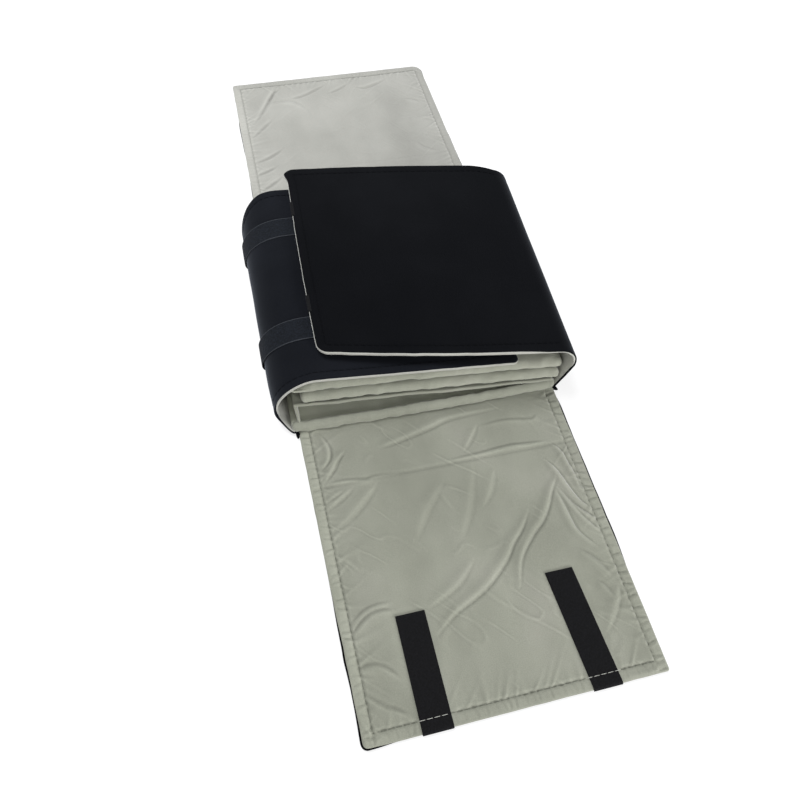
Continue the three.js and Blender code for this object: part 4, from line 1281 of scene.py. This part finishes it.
def make_base():
    width, length = BASE_HIGH[0] - BASE_LOW[0], BASE_HIGH[1] - BASE_FRONT

    def spot(a, b, margin, z):
        x = BASE_LOW[0] + margin + a
        y = BASE_FRONT + margin + b - FRONT_SHEAR * x * (1 - b / length)
        return xyz(x, y, z)

    def lining(side, a, b, distance):
        rim, sunk = (RIM, 0) if side > 0 else (RIM / 2, PLY)
        rise = (PANEL - BASE_SEAM - sunk - RIM) * rolled(distance, BASE_ROLL)
        return spot(a, b, BASE_MARGIN, BASE_SEAM + rim + rise)

    def outer(side, a, b, distance):
        """Its under side shows. The turned corners at the front stick out, the right one sideways too."""
        left = bell(a - 1, 2.4) * bell(b, 4)
        right = bell(width - a, 3) * bell(b, 4)
        if side > 0:
            z = BASE_TURNED * fade(HIDDEN_SEAM + 0.2, HIDDEN_SEAM + 0.8, distance)
        else:
            rim = fade(1.2, BASE_MARGIN - 0.2, distance)
            z = BASE_SEAM + RIM + rim * (1.4 * rolled(distance, 1.0) - RIM / 2)
        return spot(a + CORNER_SPREAD * right, b - CORNER_EARS[0] * left - CORNER_EARS[1] * right, 0, z)

    inner = 2 * BASE_MARGIN
    cloth = slab("base_lining_cloth", width - inner, length - inner, BASE_CORNER, lining, BASE_CELL)
    finish_ply(cloth, "base", "lining", GREY, "base", width, length, "laid", "base_outer_cloth")
    cloth = slab("base_outer_cloth", width, length, BASE_CORNER, outer, BASE_CELL)
    finish_ply(cloth, "base", "outer", BLACK, "base", width, length, "laid")


def leaf_front(front, skew, x, z):
    """Y of a leaf's front edge at a place on it. It leans back and runs askew."""
    lean = LEAF_LEAN * (z - BOTTOM_LEAF_Z)
    return BASE_FRONT + front + lean - skew * x / (BASE_HIGH[0] - BASE_LOW[0])


def make_leaf(name, front, skew, length, level, slope, seed):
    low, high = box_mm(f"{name}_upper_cover")
    low[0] += LEAF_SHIFTS[name]
    width = high[0] - low[0]
    half = LEAF_THICK / 2
    is_bottom = name == "bottom_leaf"

    def face(side, a, b, distance):
        x = low[0] + a
        gap_x, gap_y = np.minimum(a, width - a), np.minimum(b, length - b)
        roll = rolled(distance, SOLE_EDGE if is_bottom and side < 0 else LEAF_EDGE)
        edge = bell(distance, 8)
        lumps = 0.3 * noise(x, b, 19, seed + side) + 0.55 * edge * noise(x, b, 5.5, seed + 3 + side)
        height = (half - LEAF_CROWN + lumps) * roll + LEAF_CROWN * ease(0, 60, np.minimum(gap_x, gap_y))
        if name == "top_leaf" and side > 0:
            height -= LEAF_PRESSED * fade(0, 17, a)
        if is_bottom and side > 0:
            height -= LIP_DROP * ease(LIP - 0.9, LIP + 0.9, b) * fade(40, 120, b)
        pull_x = np.sin(math.pi * b / length) * np.sign(width / 2 - a) * bell(gap_x, 30)
        pull_y = np.sin(math.pi * a / width) * np.sign(length / 2 - b) * bell(gap_y, 30)
        x_pulled = x + LEAF_PULL * pull_x
        z = level + half + slope * (WEDGE_RIGHT - x_pulled) + side * np.maximum(height, RIM / 2)
        y = leaf_front(front, skew, x_pulled, z) + b + LEAF_PULL * pull_y
        y += edge * (0.5 * noise(x, b, 7, seed + 5) + 0.25 * noise(x, b, 2.6, seed + 6))
        if is_bottom:
            y -= LIP_BOW * hump(a / width) * fade(0, 90, b)
        return xyz(x_pulled, y, z)

    def painted_light_of(b):
        """Painted light against the shade: over the floor of the pocket behind the bottom leaf's lip, and
        along the front edge of the other leaves.
        """
        if is_bottom:
            return ease(LIP - 1, LIP + 1, b) * mix(0.8, 0.4, ease(LIP, 40, b))
        return 0.15 * fade(6, 14, b)

    piece = slab(f"{name}_pad", width, length, LEAF_CORNER, face, LEAF_CELL, painted_light_of)
    finish_piece(piece, GREY, "base", f"{name}_upper_cover", f"{name}_lower_cover", f"{name}_foam")
    if is_bottom:
        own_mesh(piece)


def finish_sheet(node, faces, width, length):
    piece = finish_piece(shell(f"{node}_cloth", *faces), GREY, "base", node)


def make_pocket_sheet():
    """The sheet over the pocket. Its front edge follows the middle leaf and is rolled in a hem."""
    low, high = box_mm("pocket_sheet")
    low[0] -= SHEET_OVERHANG
    width = high[0] - low[0]
    front, skew = LEAVES["middle_leaf"][:2]
    s, t = np.meshgrid(edge_stations(width, SHEET_CELL), edge_stations(SHEET_LENGTH, SHEET_CELL))
    x = low[0] + s
    level = sloped(SHEET_Z, x)
    hem = bell(t - 1.3, 1.7)
    distance = edge_distance(s, width, np.minimum(t, SHEET_LENGTH - t), 1)
    swell = rolled(distance, SHEET_ROLL) * (SHEET_THICK / 2 + 0.7 * hem * (1 + 0.3 * noise(x, 0 * t, 9, 142)))
    middle = level + SHEET_THICK / 2 + 0.2 * hem + 0.2 * noise(x, t, 15, 141)
    y = leaf_front(front, skew, x, level) + 0.6 + t + 0.6 * noise(x, 0 * t, 12, 143) * bell(t, 12)
    faces = [xyz(x, y, middle + side * np.maximum(swell, RIM / 2)) for side in (1, -1)]
    finish_sheet("pocket_sheet", faces, width, SHEET_LENGTH)


def make_upright(node, thick, seed, drop=0, slant=0, shift=0):
    """A strip that stands along the leaves, the web of the pocket or their binding, which leans out.
    Drop lowers its foot, slant brings the foot forward at the front, and shift moves it sideways."""
    low, high = box_mm(node)
    low[2] -= drop
    height, length = high[2] - low[2], high[1] - low[1]
    s, t = np.meshgrid(edge_stations(height, 1.2), edge_stations(length, 2.0))
    distance = edge_distance(s, height, np.minimum(t, length - t), 1)
    swell = thick / 2 * (0.2 + 0.8 * rolled(distance, thick))
    middle = shift + mix(low[0], high[0] - thick, s / height) + thick / 2 + 0.2 * noise(s, t, 15, seed)
    y = low[1] + t - slant * (1 - s / height) * fade(0, 40, t)
    faces = [xyz(middle + side * swell, y, low[2] + s) for side in (1, -1)]
    finish_sheet(node, faces, height, length)


make_base()
for leaf_name, leaf_values in LEAVES.items():
    make_leaf(leaf_name, *leaf_values)
make_pocket_sheet()
make_upright("pocket_side_web", WEB_THICK, 151, LIP_DROP, WEB_SLANT, WEB_SHIFT)
make_upright("leaf_binding", BINDING_THICK, 161)


# Floor and light

FLOOR_SIZE = 6000
FLOOR_DROP = 0.4
FLOOR_SHADES = (0.8, 0.3)  # as light meets it and as the camera sees it
FLOOR_GLOW = 0.76
AMBIENT = 0.40


def bare_tree(owner):
    owner.use_nodes = True
    owner.node_tree.nodes.clear()
    return owner.node_tree


def make_floor():
    """White paper. The camera sees it glow, so that it runs into the background but keeps the shadow."""
    corners = np.array([(-1, -1, 0), (1, -1, 0), (1, 1, 0), (-1, 1, 0)]) * FLOOR_SIZE - [0, 0, FLOOR_DROP]
    floor = mesh_object("floor", corners, [range(4)])
    material = bpy.data.materials.new("floor")
    tree = bare_tree(material)
    paper, seen = (add_node(tree, "BsdfDiffuse", {"Color": grey(shade)}) for shade in FLOOR_SHADES)
    glow = add_node(tree, "Emission", {"Strength": FLOOR_GLOW})
    glowing = add_node(tree, "AddShader", {0: seen, 1: glow})
    to_camera = add_node(tree, "LightPath", {}, "Is Camera Ray")
    choice = add_node(tree, "MixShader", {0: to_camera, 1: paper, 2: glowing})
    set_sockets(tree.nodes.new("ShaderNodeOutputMaterial"), {"Surface": choice})
    floor.data.materials.append(material)


def make_world():
    """Soft light from all sides, and white where the camera or a reflection meets it."""
    world = bpy.context.scene.world = bpy.data.worlds.new("studio")
    tree = bare_tree(world)
    light, white = (add_node(tree, "Background", {"Color": grey(1), "Strength": s}) for s in (AMBIENT, 1))
    rays = add_node(tree, "LightPath", {}).node.outputs
    seen = rays["Is Camera Ray"]
    for ray in ("Is Glossy Ray", "Is Transmission Ray"):
        seen = add_node(tree, "Math", {0: seen, 1: rays[ray]}, operation="MAXIMUM")
    choice = add_node(tree, "MixShader", {0: seen, 1: light, 2: white})
    set_sockets(tree.nodes.new("ShaderNodeOutputWorld"), {"Surface": choice})


def make_lamp(name, place, target, size, power, colour):
    lamp = link(bpy.data.objects.new(name, bpy.data.lights.new(name, "AREA")))
    lamp.data.shape = "DISK"
    lamp.data.size = size
    lamp.data.energy = power
    lamp.data.color = colour
    lamp.location = place
    lamp.rotation_mode = "QUATERNION"
    lamp.rotation_quaternion = (Vector(target) - Vector(place)).to_track_quat("-Z", "Y")


make_floor()
make_world()
make_lamp("window", (-0.3, 0.55, 1.2), (0, 0.1, 0), 0.7, 16.5, (0.97, 0.975, 1))
make_lamp("fill", (0.8, -1.6, 0.38), (0, -0.1, 0), 0.8, 27, (1, 1, 1))

bpy.context.scene.view_settings.view_transform = "Standard"
